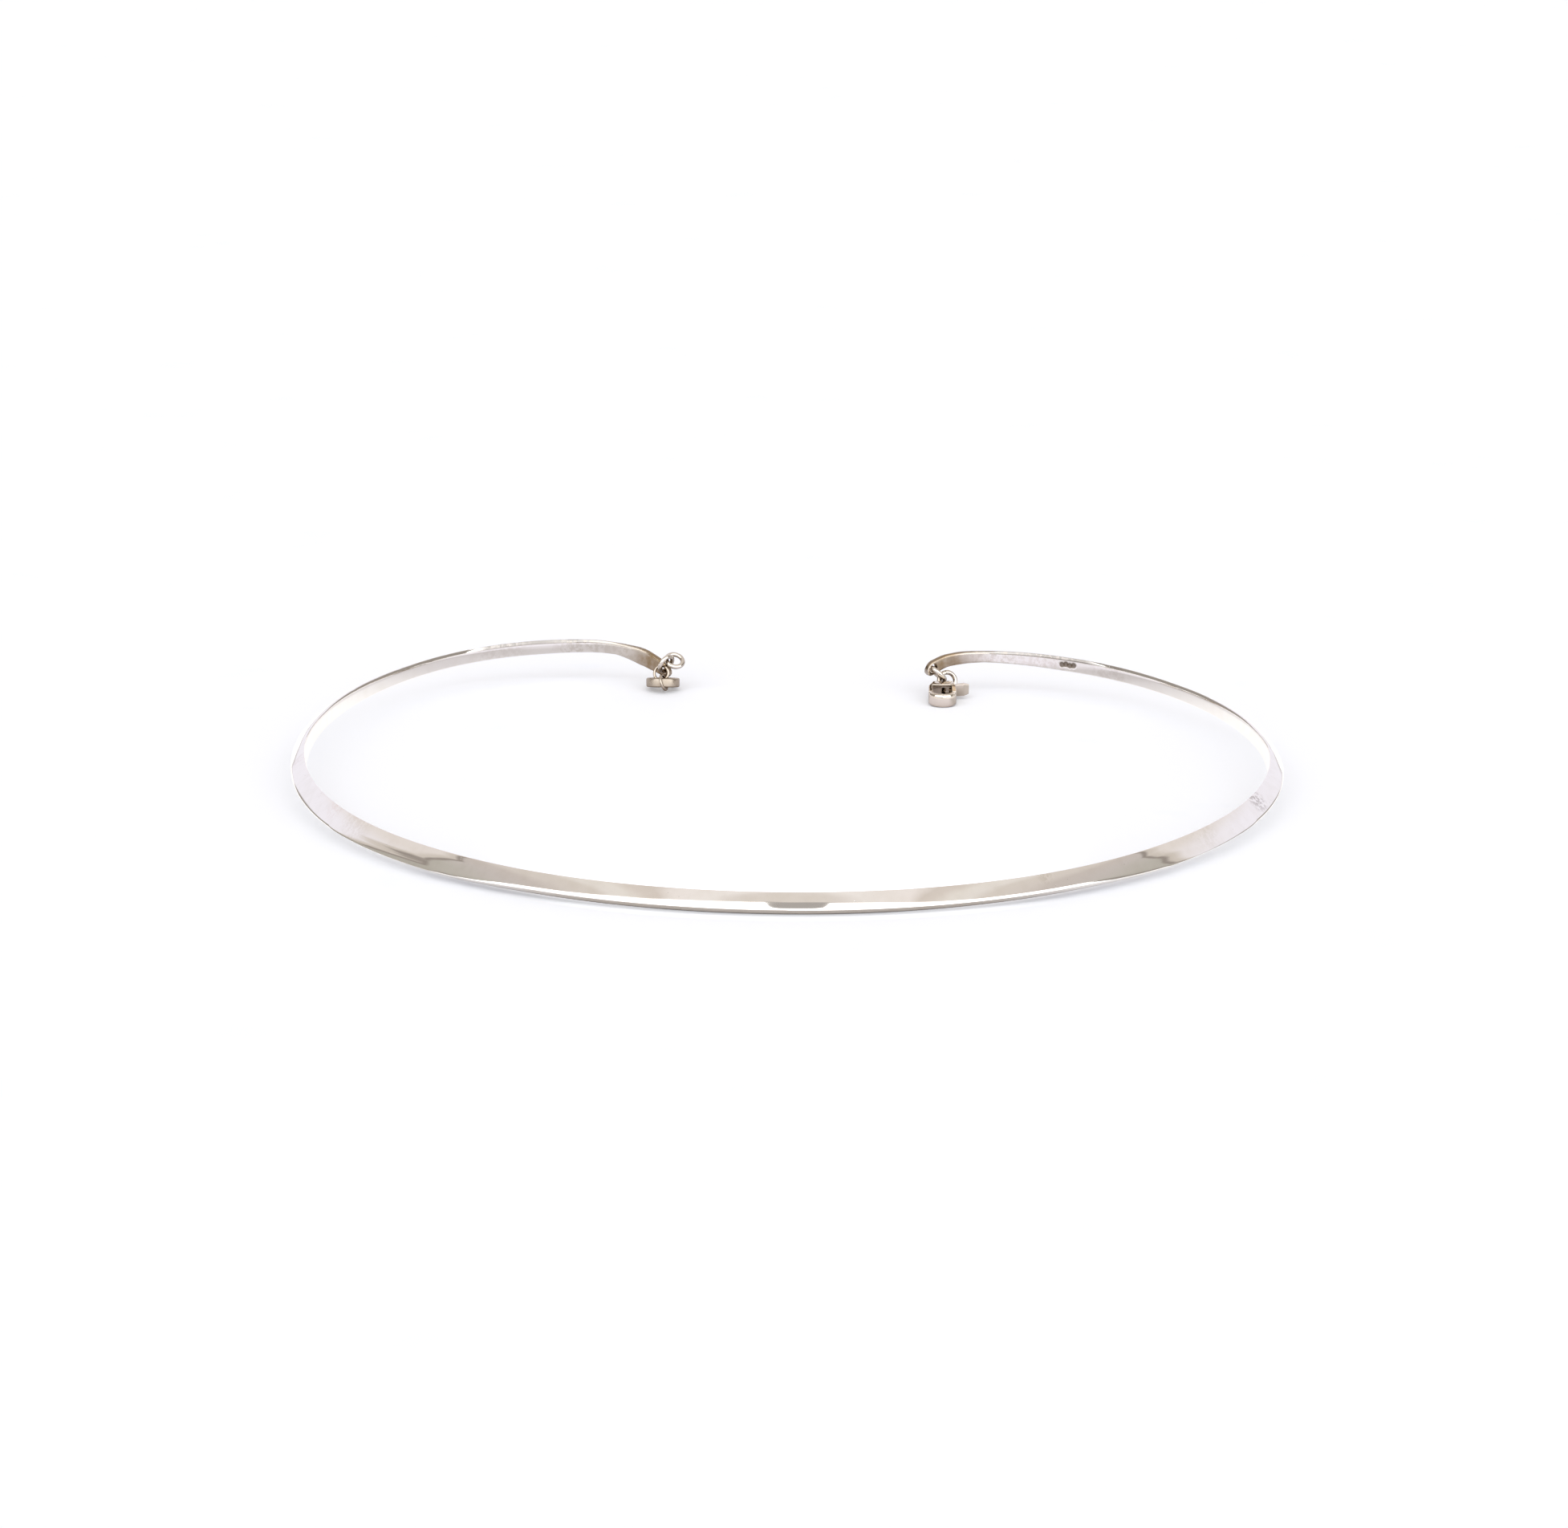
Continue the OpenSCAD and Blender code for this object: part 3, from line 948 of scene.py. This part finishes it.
def make_small_links(context):
    finish = context.scene.silver_finish
    # The links' silver is much darker and warmer, with brown in the hollows: tarnish and painted shade
    wire = silver_material("small_link_silver", finish, rough=2.0, shade=(0.58, 0.52, 0.45), hollow=0.95)
    for name, node, slit_at, fuller in SMALL_LINKS:
        wire_ring(name, node, wire, slit_at, LINK_SLIT, fuller)


def rounded_box_profile(inner, outer, half, r):
    """Section of a flat band ring with rounded edges, as (radius, height)"""
    profile = []
    for x, z, first in (
        (outer - r, half - r, 0), (inner + r, half - r, 90),
        (inner + r, r - half, 180), (outer - r, r - half, 270),
    ):
        for k in range(EDGE_STEPS + 1):
            a = math.radians(first + 90 * k / EDGE_STEPS)
            profile.append((x + r * math.cos(a), z + r * math.sin(a)))
    return profile


def make_catch_ring(context):
    finish = context.scene.silver_finish
    points = node_points("catch_ring")
    middle = (points.min(0) + points.max(0)) / 2
    turn = np.array(Matrix.Rotation(-math.radians(CATCH_TIP), 3, "X"))
    local = (points - middle) @ turn
    radii = np.linalg.norm(local[:, :2], axis=1)
    half = abs(local[:, 2]).max()
    profile = rounded_box_profile(radii.min(), radii.max(), half, CATCH_EDGE)
    verts, faces = turned_ring(profile, RING_STEPS)
    verts = middle + verts @ turn.T
    piece = new_piece("catch_ring_band", verts, faces, RING_BODY, "catch_ring")
    outward(piece)
    soften_shading(piece, 60)
    # Dark, warm silver, brown all over and in the hollows: tarnish and painted shade
    worn = silver_material(
        "catch_ring_silver",
        finish,
        rough=8.0,
        shade=(0.58, 0.54, 0.49),
        hollow=1.0,
        tarnish=((tuple(middle), 3.3, 1.0),),
    )
    dress(piece, worn)


# The clasp, in its own frame: x across, y back from its nose, z up from its underside

CLAW_R, CLAW_INNER_R = 1.975, 1.375
CLASP_H = 1.9
NOSE_PROFILE = (
    (1.65, 0), (1.87, 0.08), (1.95, 0.3), (CLAW_R, 0.8),
    (1.965, 1.25), (1.91, 1.58), (1.81, 1.8), (1.66, CLASP_H),
)
NOSE_STEPS = 96
HUB_FRONT, HUB_BACK, HUB_R = 5.05, 6.65, 0.95
BACK_CORNER = (-1.2, HUB_BACK)
BACK_SHOULDER = (-1.9, 4.6)
EYE, EYE_R, EYE_HOLE_R = (0, 7.4), 1.2, 0.7
EYE_LOW, EYE_HIGH = 0.65, 1.25
PIVOT = (0.85, 5.95)
BODY_BORE_R, LEVER_BORE_R = 0.32, 0.36
GATE_IN, GATE_OUT, GATE_BACK = 1.35, 1.95, 5.2
GATE_R, GATE_GAP = 4.13, 0.08
ROOM_IN = 1.29
LEVER_CLEAR_R = 1.05
ROOT_R, ROOT_GAP = 0.65, 0.06
WEB_FRONT = 4.8
SLOT, SLOT_R = (0.5, 1.4), 0.72
SLOT_FRONT, SLOT_BACK, SLOT_OUT = 4.6, 6.0, 2.5
# Heights well below and above the clasp, for cuts that go right through
BELOW, ABOVE = -1, 3
# The casting's grain, and how often it is smoothed: the body and the lever
CASTING_VOXEL = 0.04
BODY_TUMBLES, LEVER_TUMBLES = 26, 12


def clasp_place():
    """From the clasp's frame in millimetres to the row's"""
    hinge = next(j for j in frame["joints"] if j["name"] == "lever_hinge")
    tip = math.asin(hinge["axis"][1])
    turn = np.array(Matrix.Rotation(tip, 3, "X"))
    middle = np.array(hinge["pos_m"]) / MM
    return turn, middle - turn @ np.array([PIVOT[0], PIVOT[1], CLASP_H / 2])


def prism(outline, low, high):
    count = len(outline)
    verts = [(x, y, low) for x, y in outline] + [(x, y, high) for x, y in outline]
    faces = [tuple(range(count - 1, -1, -1)), tuple(range(count, 2 * count))]
    faces += [(k, (k + 1) % count, count + (k + 1) % count, count + k) for k in range(count)]
    return plain_object("blank", verts, faces)


def round_blank(x, y, r, low, high, steps=64):
    turns = [2 * math.pi * k / steps for k in range(steps)]
    return prism([(x + r * math.cos(a), y + r * math.sin(a)) for a in turns], low, high)


def box_blank(low, high):
    outline = [(low[0], low[1]), (high[0], low[1]), (high[0], high[1]), (low[0], high[1])]
    return prism(outline, low[2], high[2])


def cast(blank, name, body, nodes, tumbles):
    """Gives a sharp blank the soft edges of a small casting and puts it in place"""
    remesh = blank.modifiers.new("casting", "REMESH")
    remesh.mode = "VOXEL"
    remesh.voxel_size = CASTING_VOXEL
    remesh.adaptivity = 0
    polish = blank.modifiers.new("tumbled", "SMOOTH")
    polish.factor = 0.5
    polish.iterations = tumbles
    apply_modifiers(blank)
    mesh = blank.data
    local = np.empty(len(mesh.vertices) * 3)
    mesh.vertices.foreach_get("co", local)
    turn, origin = clasp_place()
    faces = [tuple(p.vertices) for p in mesh.polygons]
    placed = local.reshape(-1, 3) @ turn.T + origin
    bpy.data.objects.remove(blank, do_unlink=True)
    return new_piece(name, placed, faces, body, *nodes)


def nose_blank():
    """The round nose of the claw, its wall swelling a little at the middle of its height"""
    points, faces = turned_solid(NOSE_PROFILE, NOSE_STEPS)
    return plain_object("nose", points + np.array([0, CLAW_R, 0]), faces)


def claw_body():
    body = nose_blank()
    walls = [
        (-CLAW_R, CLAW_R), (CLAW_R, CLAW_R), (CLAW_R, HUB_FRONT), (PIVOT[0], HUB_FRONT),
        (PIVOT[0], HUB_BACK), BACK_CORNER, BACK_SHOULDER,
    ]
    cut(body, prism(walls, 0.001, CLASP_H - 0.001), "UNION")
    cut(body, round_blank(*PIVOT, HUB_R, 0, CLASP_H), "UNION")
    cut(body, round_blank(0, CLAW_R, CLAW_INNER_R, BELOW, ABOVE))
    cut(body, box_blank((-CLAW_INNER_R, CLAW_R, BELOW), (CLAW_INNER_R, HUB_FRONT, ABOVE)))
    room = round_blank(*PIVOT, GATE_R + GATE_GAP, BELOW, ABOVE, 128)
    cut(room, box_blank((ROOM_IN, 0, BELOW - 1), (4, HUB_FRONT, ABOVE + 1)), "INTERSECT")
    cut(body, room)
    cut(body, round_blank(*EYE, EYE_R, EYE_LOW, EYE_HIGH), "UNION")
    cut(body, round_blank(*EYE, EYE_HOLE_R, BELOW, ABOVE, 48))
    cut(body, box_blank((0, SLOT_FRONT, SLOT[0]), (SLOT_OUT, SLOT_BACK, SLOT[1])))
    cut(body, round_blank(*PIVOT, SLOT_R, *SLOT, 48))
    cut(body, round_blank(*PIVOT, BODY_BORE_R, BELOW, ABOVE, 32))
    return cast(body, "clasp_casting", RING_BODY, ("clasp_body",), BODY_TUMBLES)


def thumb_nub():
    """The nub, its end tapered and its upper corner cut off"""
    root, shoulder, end = 1.35, 3.15, 3.85
    back = 6.05
    sections = ((root, 5.2, 0.05, 1.68), (shoulder, 5.25, 0.15, CLASP_H), (end, 5.6, 0.35, 1.72))
    verts = []
    for x, front, low, high in sections:
        verts += [(x, front, low), (x, back, low), (x, back, high), (x, front, high)]
    faces = [(3, 2, 1, 0), (8, 9, 10, 11)]
    for a in (0, 4):
        faces += [(a + k, a + (k + 1) % 4, a + 4 + (k + 1) % 4, a + 4 + k) for k in range(4)]
    return plain_object("nub", verts, faces)


def clasp_lever_piece():
    """The gate, its thumb nub, and the root that turns on the rivet inside the body's slot"""
    root_low, root_high = SLOT[0] + ROOT_GAP, SLOT[1] - ROOT_GAP
    gate = round_blank(*PIVOT, GATE_R, 0, CLASP_H, 128)
    cut(gate, box_blank((GATE_IN, 0, BELOW), (GATE_OUT, GATE_BACK, ABOVE)), "INTERSECT")
    cut(gate, thumb_nub(), "UNION")
    cut(gate, round_blank(*PIVOT, LEVER_CLEAR_R, BELOW, ABOVE))
    cut(gate, round_blank(*PIVOT, ROOT_R, root_low, root_high, 48), "UNION")
    web = [(0.55, PIVOT[1]), (GATE_OUT, PIVOT[1]), (GATE_OUT, WEB_FRONT), (GATE_IN, WEB_FRONT)]
    cut(gate, prism(web, root_low, root_high), "UNION")
    cut(gate, round_blank(*PIVOT, LEVER_BORE_R, BELOW, ABOVE, 32))
    return cast(gate, "clasp_lever_casting", LEVER_BODY, ("clasp_lever",), LEVER_TUMBLES)


def clasp_rivet():
    """The rivet, its two heads a little domed"""
    profile = (
        (0.01, -0.06), (0.2, -0.05), (0.36, 0.0), (0.3, 0.02),
        (0.3, CLASP_H - 0.02), (0.36, CLASP_H), (0.2, CLASP_H + 0.05), (0.01, CLASP_H + 0.06),
    )
    points, faces = turned_solid(profile, 40)
    turn, origin = clasp_place()
    placed = (points + np.array([*PIVOT, 0])) @ turn.T + origin
    rivet = new_piece("clasp_rivet", placed, faces, RING_BODY, "clasp_pin")
    outward(rivet)
    soften_shading(rivet, 40)
    return rivet


def make_clasp(context):
    finish = context.scene.silver_finish
    turn, origin = clasp_place()
    opening = origin + turn @ np.array([0, CLAW_R + 0.3, CLASP_H / 2])
    # Darker, warmer silver with a little brown in the hollows: tarnish and painted shade; golden tarnish in
    # the claw's opening
    cast_silver = silver_material(
        "cast_silver",
        finish,
        rough=2.5,
        shade=(0.84, 0.79, 0.72),
        hollow=0.45,
        tarnish=((tuple(opening), 2.1, 0.7),),
    )
    for piece in (claw_body(), clasp_lever_piece(), clasp_rivet()):
        dress(piece, cast_silver)


# The table, in metres

TABLE_REACH = 4.0
# Middle of the front's curve on the table
FRONT_CENTRE = (0.0, 0.0074, 0.0)
# The metal shows the table in zones: inside, under the inner wall, and further out, by
# the distance from that middle, then at the sides, and in front by both y and x. The
# zones are painted shade and light in the mirrored table: darker under the inner wall,
# further out and in front, where the collar's shadow falls, and lighter with a glow at
# the sides. A pair is where a zone starts and where it is full, or for the front one
# where it is still full and where it has gone.
INSIDE_TINT = (0.86, 0.85, 0.93)
INNER_WALL_ZONE = (0.042, 0.0455)
OUTER_ZONE, OUTER_TINT = (0.047, 0.050), (0.68, 0.67, 0.70)
SIDE_ZONE, SIDE_TINT, SIDE_GLOW = (0.030, 0.055), (0.98, 0.99, 1.0), 0.12
FRONT_ZONE_Y, FRONT_ZONE_X = (-0.015, 0.0), (0.022, 0.040)
# Seen at a low angle it is nearly white: a painted sheen
GRAZING, GRAZING_TINT = (0.80, 0.97), (0.96, 0.94, 0.96)
# Light in the gap under the ridge: where it fades out in front and to the sides
UNDER_RIDGE, UNDER_RIDGE_SIDES, UNDER_RIDGE_GLOW = (0.0655, 0.0675), (0.015, 0.050), 0.4
GLOW_TINT = (0.95, 0.965, 1.0)


def table_in_metal(n, light, from_middle, front, side):
    """The table's colour as polished silver shows it, a little darker and warmer than to the eye, with
    painted shade and light in zones
    """
    facing = n.add("ShaderNodeLayerWeight", {"Blend": 0.5}).outputs["Facing"]
    zone = n.rise(from_middle, *INNER_WALL_ZONE)
    mirrored = n.mix(zone, (*INSIDE_TINT, 1), (*light.mirrored_table, 1))
    mirrored = n.mix(n.rise(from_middle, *OUTER_ZONE), mirrored, (*OUTER_TINT, 1))
    mirrored = n.mix(n.rise(facing, *GRAZING), mirrored, (*GRAZING_TINT, 1))
    mirrored = n.mix(side, mirrored, (*SIDE_TINT, 1))
    return n.mix(front, mirrored, (*light.mirrored_front, 1))


def table_material(light):
    material = bpy.data.materials.new("white_table")
    material.use_nodes = True
    n = Nodes(material.node_tree)
    spot = n.add("ShaderNodeTexCoord").outputs["Object"]
    mottle = n.noise(spot, 55.0, 3.0, 0.6)
    tint = tuple(c * f for c, f in zip(light.table, (0.985, 0.99, 1.0)))
    seen = n.mix(n.rise(mottle, 0.62, 0.7), (*light.table, 1), (*tint, 1))

    x, y, _ = n.add("ShaderNodeSeparateXYZ", {0: spot}).outputs
    sideways = n.math("ABSOLUTE", x)
    distance = n.add("ShaderNodeVectorMath", {0: spot, 1: FRONT_CENTRE}, operation="DISTANCE")
    from_middle = distance.outputs["Value"]
    side = n.rise(sideways, *SIDE_ZONE)
    front = n.math("MULTIPLY", n.fall(y, *FRONT_ZONE_Y), n.fall(sideways, *FRONT_ZONE_X))
    mirrored = table_in_metal(n, light, from_middle, front, side)

    # The metal sees the darker mirrored table, with its painted shade and light, and the camera sees the
    # white one
    ray = n.add("ShaderNodeLightPath")
    colour = n.mix(ray.outputs["Is Glossy Ray"], seen, mirrored)
    shader = n.add(
        "ShaderNodeBsdfPrincipled", {"Base Color": colour, "Roughness": 0.6, "Specular IOR Level": 0.1}
    )
    # Painted light: a glow in the gap under the ridge as the camera sees it, and a glow at the sides as the
    # metal shows them
    under = n.math("MULTIPLY", n.fall(from_middle, *UNDER_RIDGE), n.fall(sideways, *UNDER_RIDGE_SIDES))
    under = n.math("MULTIPLY", under, front)
    shown = n.math("MULTIPLY_ADD", under, UNDER_RIDGE_GLOW, light.glow)
    shown = n.math("MULTIPLY", ray.outputs["Is Camera Ray"], shown)
    mirrored_glow = n.math("MULTIPLY", n.math("MULTIPLY", ray.outputs["Is Glossy Ray"], side), SIDE_GLOW)
    glow = n.add(
        "ShaderNodeEmission", {"Color": (*GLOW_TINT, 1), "Strength": n.math("ADD", shown, mirrored_glow)}
    )
    both = n.add("ShaderNodeAddShader", {0: shader.outputs["BSDF"], 1: glow.outputs["Emission"]})
    n.add("ShaderNodeOutputMaterial", {"Surface": both.outputs["Shader"]})
    return material


def make_table(context):
    reach = TABLE_REACH
    corners = [(-reach, -reach, 0), (reach, -reach, 0), (reach, reach, 0), (-reach, reach, 0)]
    mesh = bpy.data.meshes.new("table_top")
    mesh.from_pydata(corners, [], [(0, 1, 2, 3)])
    table = bpy.data.objects.new("table_top", mesh)
    context.scene.collection.objects.link(table)
    mesh.materials.append(table_material(context.scene.table_light))


# The light. Directions are laid out as on a flat ceiling: how far across and how far
# back a ray meets it, over its height. Edges are lines over the distance across, as
# (slope, offset), for the left and the right half of the room.

# What the ceiling shows from the middle outwards: distance across, red, green, blue
CEILING = (
    (0.00, 0.76, 0.70, 0.64), (0.05, 0.78, 0.72, 0.67), (0.10, 0.90, 0.85, 0.81), (0.21, 0.90, 0.84, 0.80),
    (0.25, 0.70, 0.63, 0.57), (0.29, 0.73, 0.66, 0.60), (0.34, 0.83, 0.78, 0.72), (0.41, 0.82, 0.77, 0.72),
    (0.46, 0.72, 0.66, 0.60), (0.58, 0.70, 0.64, 0.59), (0.68, 0.61, 0.55, 0.51), (0.88, 0.59, 0.54, 0.51),
    (1.02, 0.56, 0.52, 0.48), (1.20, 0.52, 0.49, 0.44), (1.50, 0.47, 0.44, 0.39),
)
CEILING_REACH = 1.6
CEILING_SLANT = 0.23
RIGHT_NARROWER = -0.15

# Front edge of the white sheet: the highest of three lines
SHEET_EDGE = {
    LEFT: ((-1.0, 1.05), (0.0, 0.21), (1.25, -1.415)),
    RIGHT: ((-0.6, 1.02), (0.0, 0.38), (0.29, 0.0)),
}
SHEET_LOW, SHEET_HIGH, SHEET_HEIGHTS = (0.94, 0.915, 0.98), (0.81, 0.75, 0.71), (18, 40)
SHEET_HEM, SHEET_LINE = (0.66, 0.60, 0.54), (0.33, 0.29, 0.26)
# From that edge backwards: where the dark line, the sheet and its clean part come in
LINE_STARTS, SHEET_STARTS, HEM_ENDS = (-0.055, -0.02), (-0.01, 0.03), (0.04, 0.16)

# Back edge of the softboxes: a level, cut by a falling line, and a rising line
BOX_EDGE = {
    LEFT: (0.44, (-0.24, 0.53), 0.325),
    RIGHT: (0.46, (-0.4, 0.715), 0.19),
}
# The left box is dim low down, and both have a soft back edge
BOX_DIM, BOX_HEIGHTS, BOX_BLUR = (0.62, 0.58, 0.55), (0, 14), 0.015

# The gap between the softboxes, where the lens is: its soft sides, its far edge, and
# where the dim patch in it starts
GAP_LEFT, GAP_RIGHT, GAP_EDGE = (-0.085, -0.03), (0.095, 0.15), 0.80
GAP_PATCH, GAP_TINT = (0.41, 0.45), (0.44, 0.41, 0.385)

# Beyond the table's ends the room is dark up to a line that falls towards the back:
# how far back, over how far across, and the line's height in degrees
WALL_FROM, WALL_TO = (-0.3, 34.5), (1.7, 0.4)
WALL_START, WALL_BLUR, WALL_TINT = (-0.31, -0.27), 1.5, (0.33, 0.30, 0.27)


class Room(Nodes):
    """The world's nodes, with the directions that the parts of the room are laid out by"""

    def __init__(self, tree):
        super().__init__(tree)
        way = self.add("ShaderNodeTexCoord")
        self.x, self.y, z = self.add("ShaderNodeSeparateXYZ", {0: way.outputs["Generated"]}).outputs
        up = self.math("MAXIMUM", z, 0.02)
        self.across = self.math("DIVIDE", self.math("ABSOLUTE", self.x), up)
        self.back = self.math("DIVIDE", self.y, up)
        self.front = self.math("MULTIPLY", self.back, -1.0)
        self.side = self.math("DIVIDE", self.x, up)
        self.right = self.rise(self.x, -0.01, 0.01)
        self.height = self.math("MULTIPLY", self.math("ARCSINE", z), 180 / math.pi)

    def line(self, slope, offset):
        return self.math("MULTIPLY_ADD", self.across, slope, offset)

    def either(self, on_left, on_right):
        part = self.math("MULTIPLY", self.right, self.math("SUBTRACT", on_right, on_left))
        return self.math("ADD", on_left, part)

    def sheet_edge(self, side):
        first, second, third = (self.line(*row) for row in SHEET_EDGE[side])
        return self.math("MAXIMUM", self.math("MAXIMUM", first, second), third)

    def box_edge(self, side):
        level, falling, rising = BOX_EDGE[side]
        cut_level = self.math("MINIMUM", level, self.line(*falling))
        return self.math("MAXIMUM", cut_level, self.math("MULTIPLY", self.across, rising))


def ceiling(room):
    """The pale ceiling, its bands leaning towards the back"""
    along = room.math("ADD", room.across, room.math("MULTIPLY", room.back, CEILING_SLANT))
    along = room.math("MULTIPLY", along, room.math("MULTIPLY_ADD", room.right, RIGHT_NARROWER, 1.0))
    ramp = room.add("ShaderNodeValToRGB", {"Fac": room.math("DIVIDE", along, CEILING_REACH)})
    stops = ramp.color_ramp.elements
    for at, *_ in CEILING[1:-1]:
        stops.new(at / CEILING_REACH)
    for stop, (at, *colour) in zip(stops, CEILING):
        stop.position = at / CEILING_REACH
        stop.color = (*colour, 1)
    return ramp.outputs["Color"]


def with_sheet(room, colour):
    """The white sheet behind, with its hem and the dark line in front of it"""
    past_edge = room.math("SUBTRACT", room.back, room.either(room.sheet_edge(LEFT), room.sheet_edge(RIGHT)))
    sheet = room.mix(room.rise(room.height, *SHEET_HEIGHTS), (*SHEET_LOW, 1), (*SHEET_HIGH, 1))
    sheet = room.mix(room.rise(past_edge, *HEM_ENDS), (*SHEET_HEM, 1), sheet)
    colour = room.mix(room.rise(past_edge, *LINE_STARTS), colour, (*SHEET_LINE, 1))
    return room.mix(room.rise(past_edge, *SHEET_STARTS), colour, sheet)


def with_softboxes(room, colour, brightness):
    """A softbox at either side of the lens, with a dim patch between them"""
    gap = room.math("MULTIPLY", room.rise(room.side, *GAP_LEFT), room.fall(room.side, *GAP_RIGHT))
    edge = room.either(room.box_edge(LEFT), room.box_edge(RIGHT))
    edge = room.math("MAXIMUM", edge, room.math("MULTIPLY", gap, GAP_EDGE))
    patch = room.math("MULTIPLY", gap, room.rise(room.front, *GAP_PATCH))
    colour = room.mix(patch, colour, (*GAP_TINT, 1))
    white = (brightness, brightness, brightness, 1)
    lit = room.mix(room.rise(room.height, *BOX_HEIGHTS), (*BOX_DIM, 1), white)
    lit = room.mix(room.right, lit, white)
    return room.mix(room.rise(room.math("SUBTRACT", room.front, edge), -BOX_BLUR, BOX_BLUR), colour, lit)


def with_walls(room, colour):
    """The dim walls beyond the table's ends"""
    sideways = room.math("DIVIDE", room.y, room.math("MAXIMUM", room.math("ABSOLUTE", room.x), 0.001))
    (near, high), (far, low) = WALL_FROM, WALL_TO
    top = room.ramp(sideways, near, far, high, low)
    wall = room.fall(room.math("SUBTRACT", room.height, top), -WALL_BLUR, WALL_BLUR)
    wall = room.math("MULTIPLY", wall, room.rise(sideways, *WALL_START))
    return room.mix(wall, colour, (*WALL_TINT, 1))


def make_light(context):
    """A white sheet behind, a softbox at either side of the camera, a pale ceiling and dim walls"""
    world = bpy.data.worlds.new("studio")
    context.scene.world = world
    world.use_nodes = True
    room = Room(world.node_tree)
    colour = with_sheet(room, ceiling(room))
    colour = with_softboxes(room, colour, context.scene.table_light.softbox)
    colour = with_walls(room, colour)
    shine = room.add("ShaderNodeBackground", {"Color": colour, "Strength": 1.0})
    room.add("ShaderNodeOutputWorld", {"Surface": shine.outputs["Background"]})


# The camera: how far above the table and how far away, the point that it looks at,
# its roll, and its focal length in pixels of the photograph

CAMERA_RAISED = math.radians(15.0)
CAMERA_AWAY = 600.0
CAMERA_TARGET = np.array([-0.515, 4.789, 0.0]) + np.array([SHIFT[0], SHIFT[1], 0])
CAMERA_ROLL = math.radians(0.4746)
FOCAL_PIXELS = 5581.6
PHOTO_WIDTH = 1954
SENSOR_WIDTH = 36.0


def make_camera(context):
    """The photograph's viewpoint: 15 degrees above the table and 0.6 m away"""
    camera = bpy.data.cameras.new("camera")
    eye = bpy.data.objects.new("camera", camera)
    context.scene.collection.objects.link(eye)
    back = np.array([0, -math.cos(CAMERA_RAISED), math.sin(CAMERA_RAISED)])
    eye.location = Vector(CAMERA_TARGET + CAMERA_AWAY * back) * MM
    look = Matrix.Rotation(math.pi / 2 - CAMERA_RAISED, 4, "X") @ Matrix.Rotation(CAMERA_ROLL, 4, "Z")
    eye.rotation_euler = look.to_euler()
    camera.sensor_fit = "HORIZONTAL"
    camera.sensor_width = SENSOR_WIDTH
    camera.lens = SENSOR_WIDTH * FOCAL_PIXELS / PHOTO_WIDTH
    camera.clip_start, camera.clip_end = 0.01, 20.0
    context.scene.camera = eye
    context.scene.view_settings.view_transform = "Standard"
    context.scene.view_settings.look = "None"


# Operators and panel


class NECKRING_OT_stage(bpy.types.Operator):
    """Make the table, the light and the camera"""

    bl_idname = "neckring.stage"
    bl_label = "Table, light and camera"

    def execute(self, context):
        make_camera(context)
        make_table(context)
        make_light(context)
        return {"FINISHED"}


class NECKRING_OT_collar(bpy.types.Operator):
    """Make the forged band with its drilled tips"""

    bl_idname = "neckring.collar"
    bl_label = "Forged band"

    def execute(self, context):
        make_collar(context)
        return {"FINISHED"}


class NECKRING_OT_jump_rings(bpy.types.Operator):
    """Make the four jump rings"""

    bl_idname = "neckring.jump_rings"
    bl_label = "Jump rings"

    def execute(self, context):
        make_jump_rings(context)
        return {"FINISHED"}


class NECKRING_OT_small_links(bpy.types.Operator):
    """Make the two thin links"""

    bl_idname = "neckring.small_links"
    bl_label = "Small links"

    def execute(self, context):
        make_small_links(context)
        return {"FINISHED"}


class NECKRING_OT_catch_ring(bpy.types.Operator):
    """Make the flat ring that the clasp closes on"""

    bl_idname = "neckring.catch_ring"
    bl_label = "Catch ring"

    def execute(self, context):
        make_catch_ring(context)
        return {"FINISHED"}


class NECKRING_OT_clasp(bpy.types.Operator):
    """Make the lobster clasp: its casting, lever and rivet"""

    bl_idname = "neckring.clasp"
    bl_label = "Lobster clasp"

    def execute(self, context):
        make_clasp(context)
        return {"FINISHED"}


class NECKRING_PT_panel(bpy.types.Panel):
    """Sizes, finishes and makers of the neck ring"""

    bl_label = "Neck ring"
    bl_idname = "NECKRING_PT_panel"
    bl_space_type = "VIEW_3D"
    bl_region_type = "UI"
    bl_category = "Neck ring"

    def draw(self, context):
        for group in (context.scene.neck_ring_sizes, context.scene.silver_finish, context.scene.table_light):
            box = self.layout.box()
            for name in group.__annotations__:
                box.prop(group, name)
        for operator in OPERATORS:
            self.layout.operator(operator.bl_idname)


GROUPS = (
    ("neck_ring_sizes", NeckRingSizes),
    ("silver_finish", SilverFinish),
    ("table_light", TableLight),
)
OPERATORS = (
    NECKRING_OT_stage,
    NECKRING_OT_collar,
    NECKRING_OT_jump_rings,
    NECKRING_OT_small_links,
    NECKRING_OT_catch_ring,
    NECKRING_OT_clasp,
)


def register():
    for name, group in GROUPS:
        bpy.utils.register_class(group)
        setattr(bpy.types.Scene, name, PointerProperty(type=group))
    for operator in OPERATORS:
        bpy.utils.register_class(operator)
    bpy.utils.register_class(NECKRING_PT_panel)


def unregister():
    bpy.utils.unregister_class(NECKRING_PT_panel)
    for operator in reversed(OPERATORS):
        bpy.utils.unregister_class(operator)
    for name, group in reversed(GROUPS):
        delattr(bpy.types.Scene, name)
        bpy.utils.unregister_class(group)


def main():
    register()
    bpy.ops.neckring.stage()
    bpy.ops.neckring.collar()
    bpy.ops.neckring.jump_rings()
    bpy.ops.neckring.small_links()
    bpy.ops.neckring.catch_ring()
    bpy.ops.neckring.clasp()


if __name__ == "__main__":
    main()
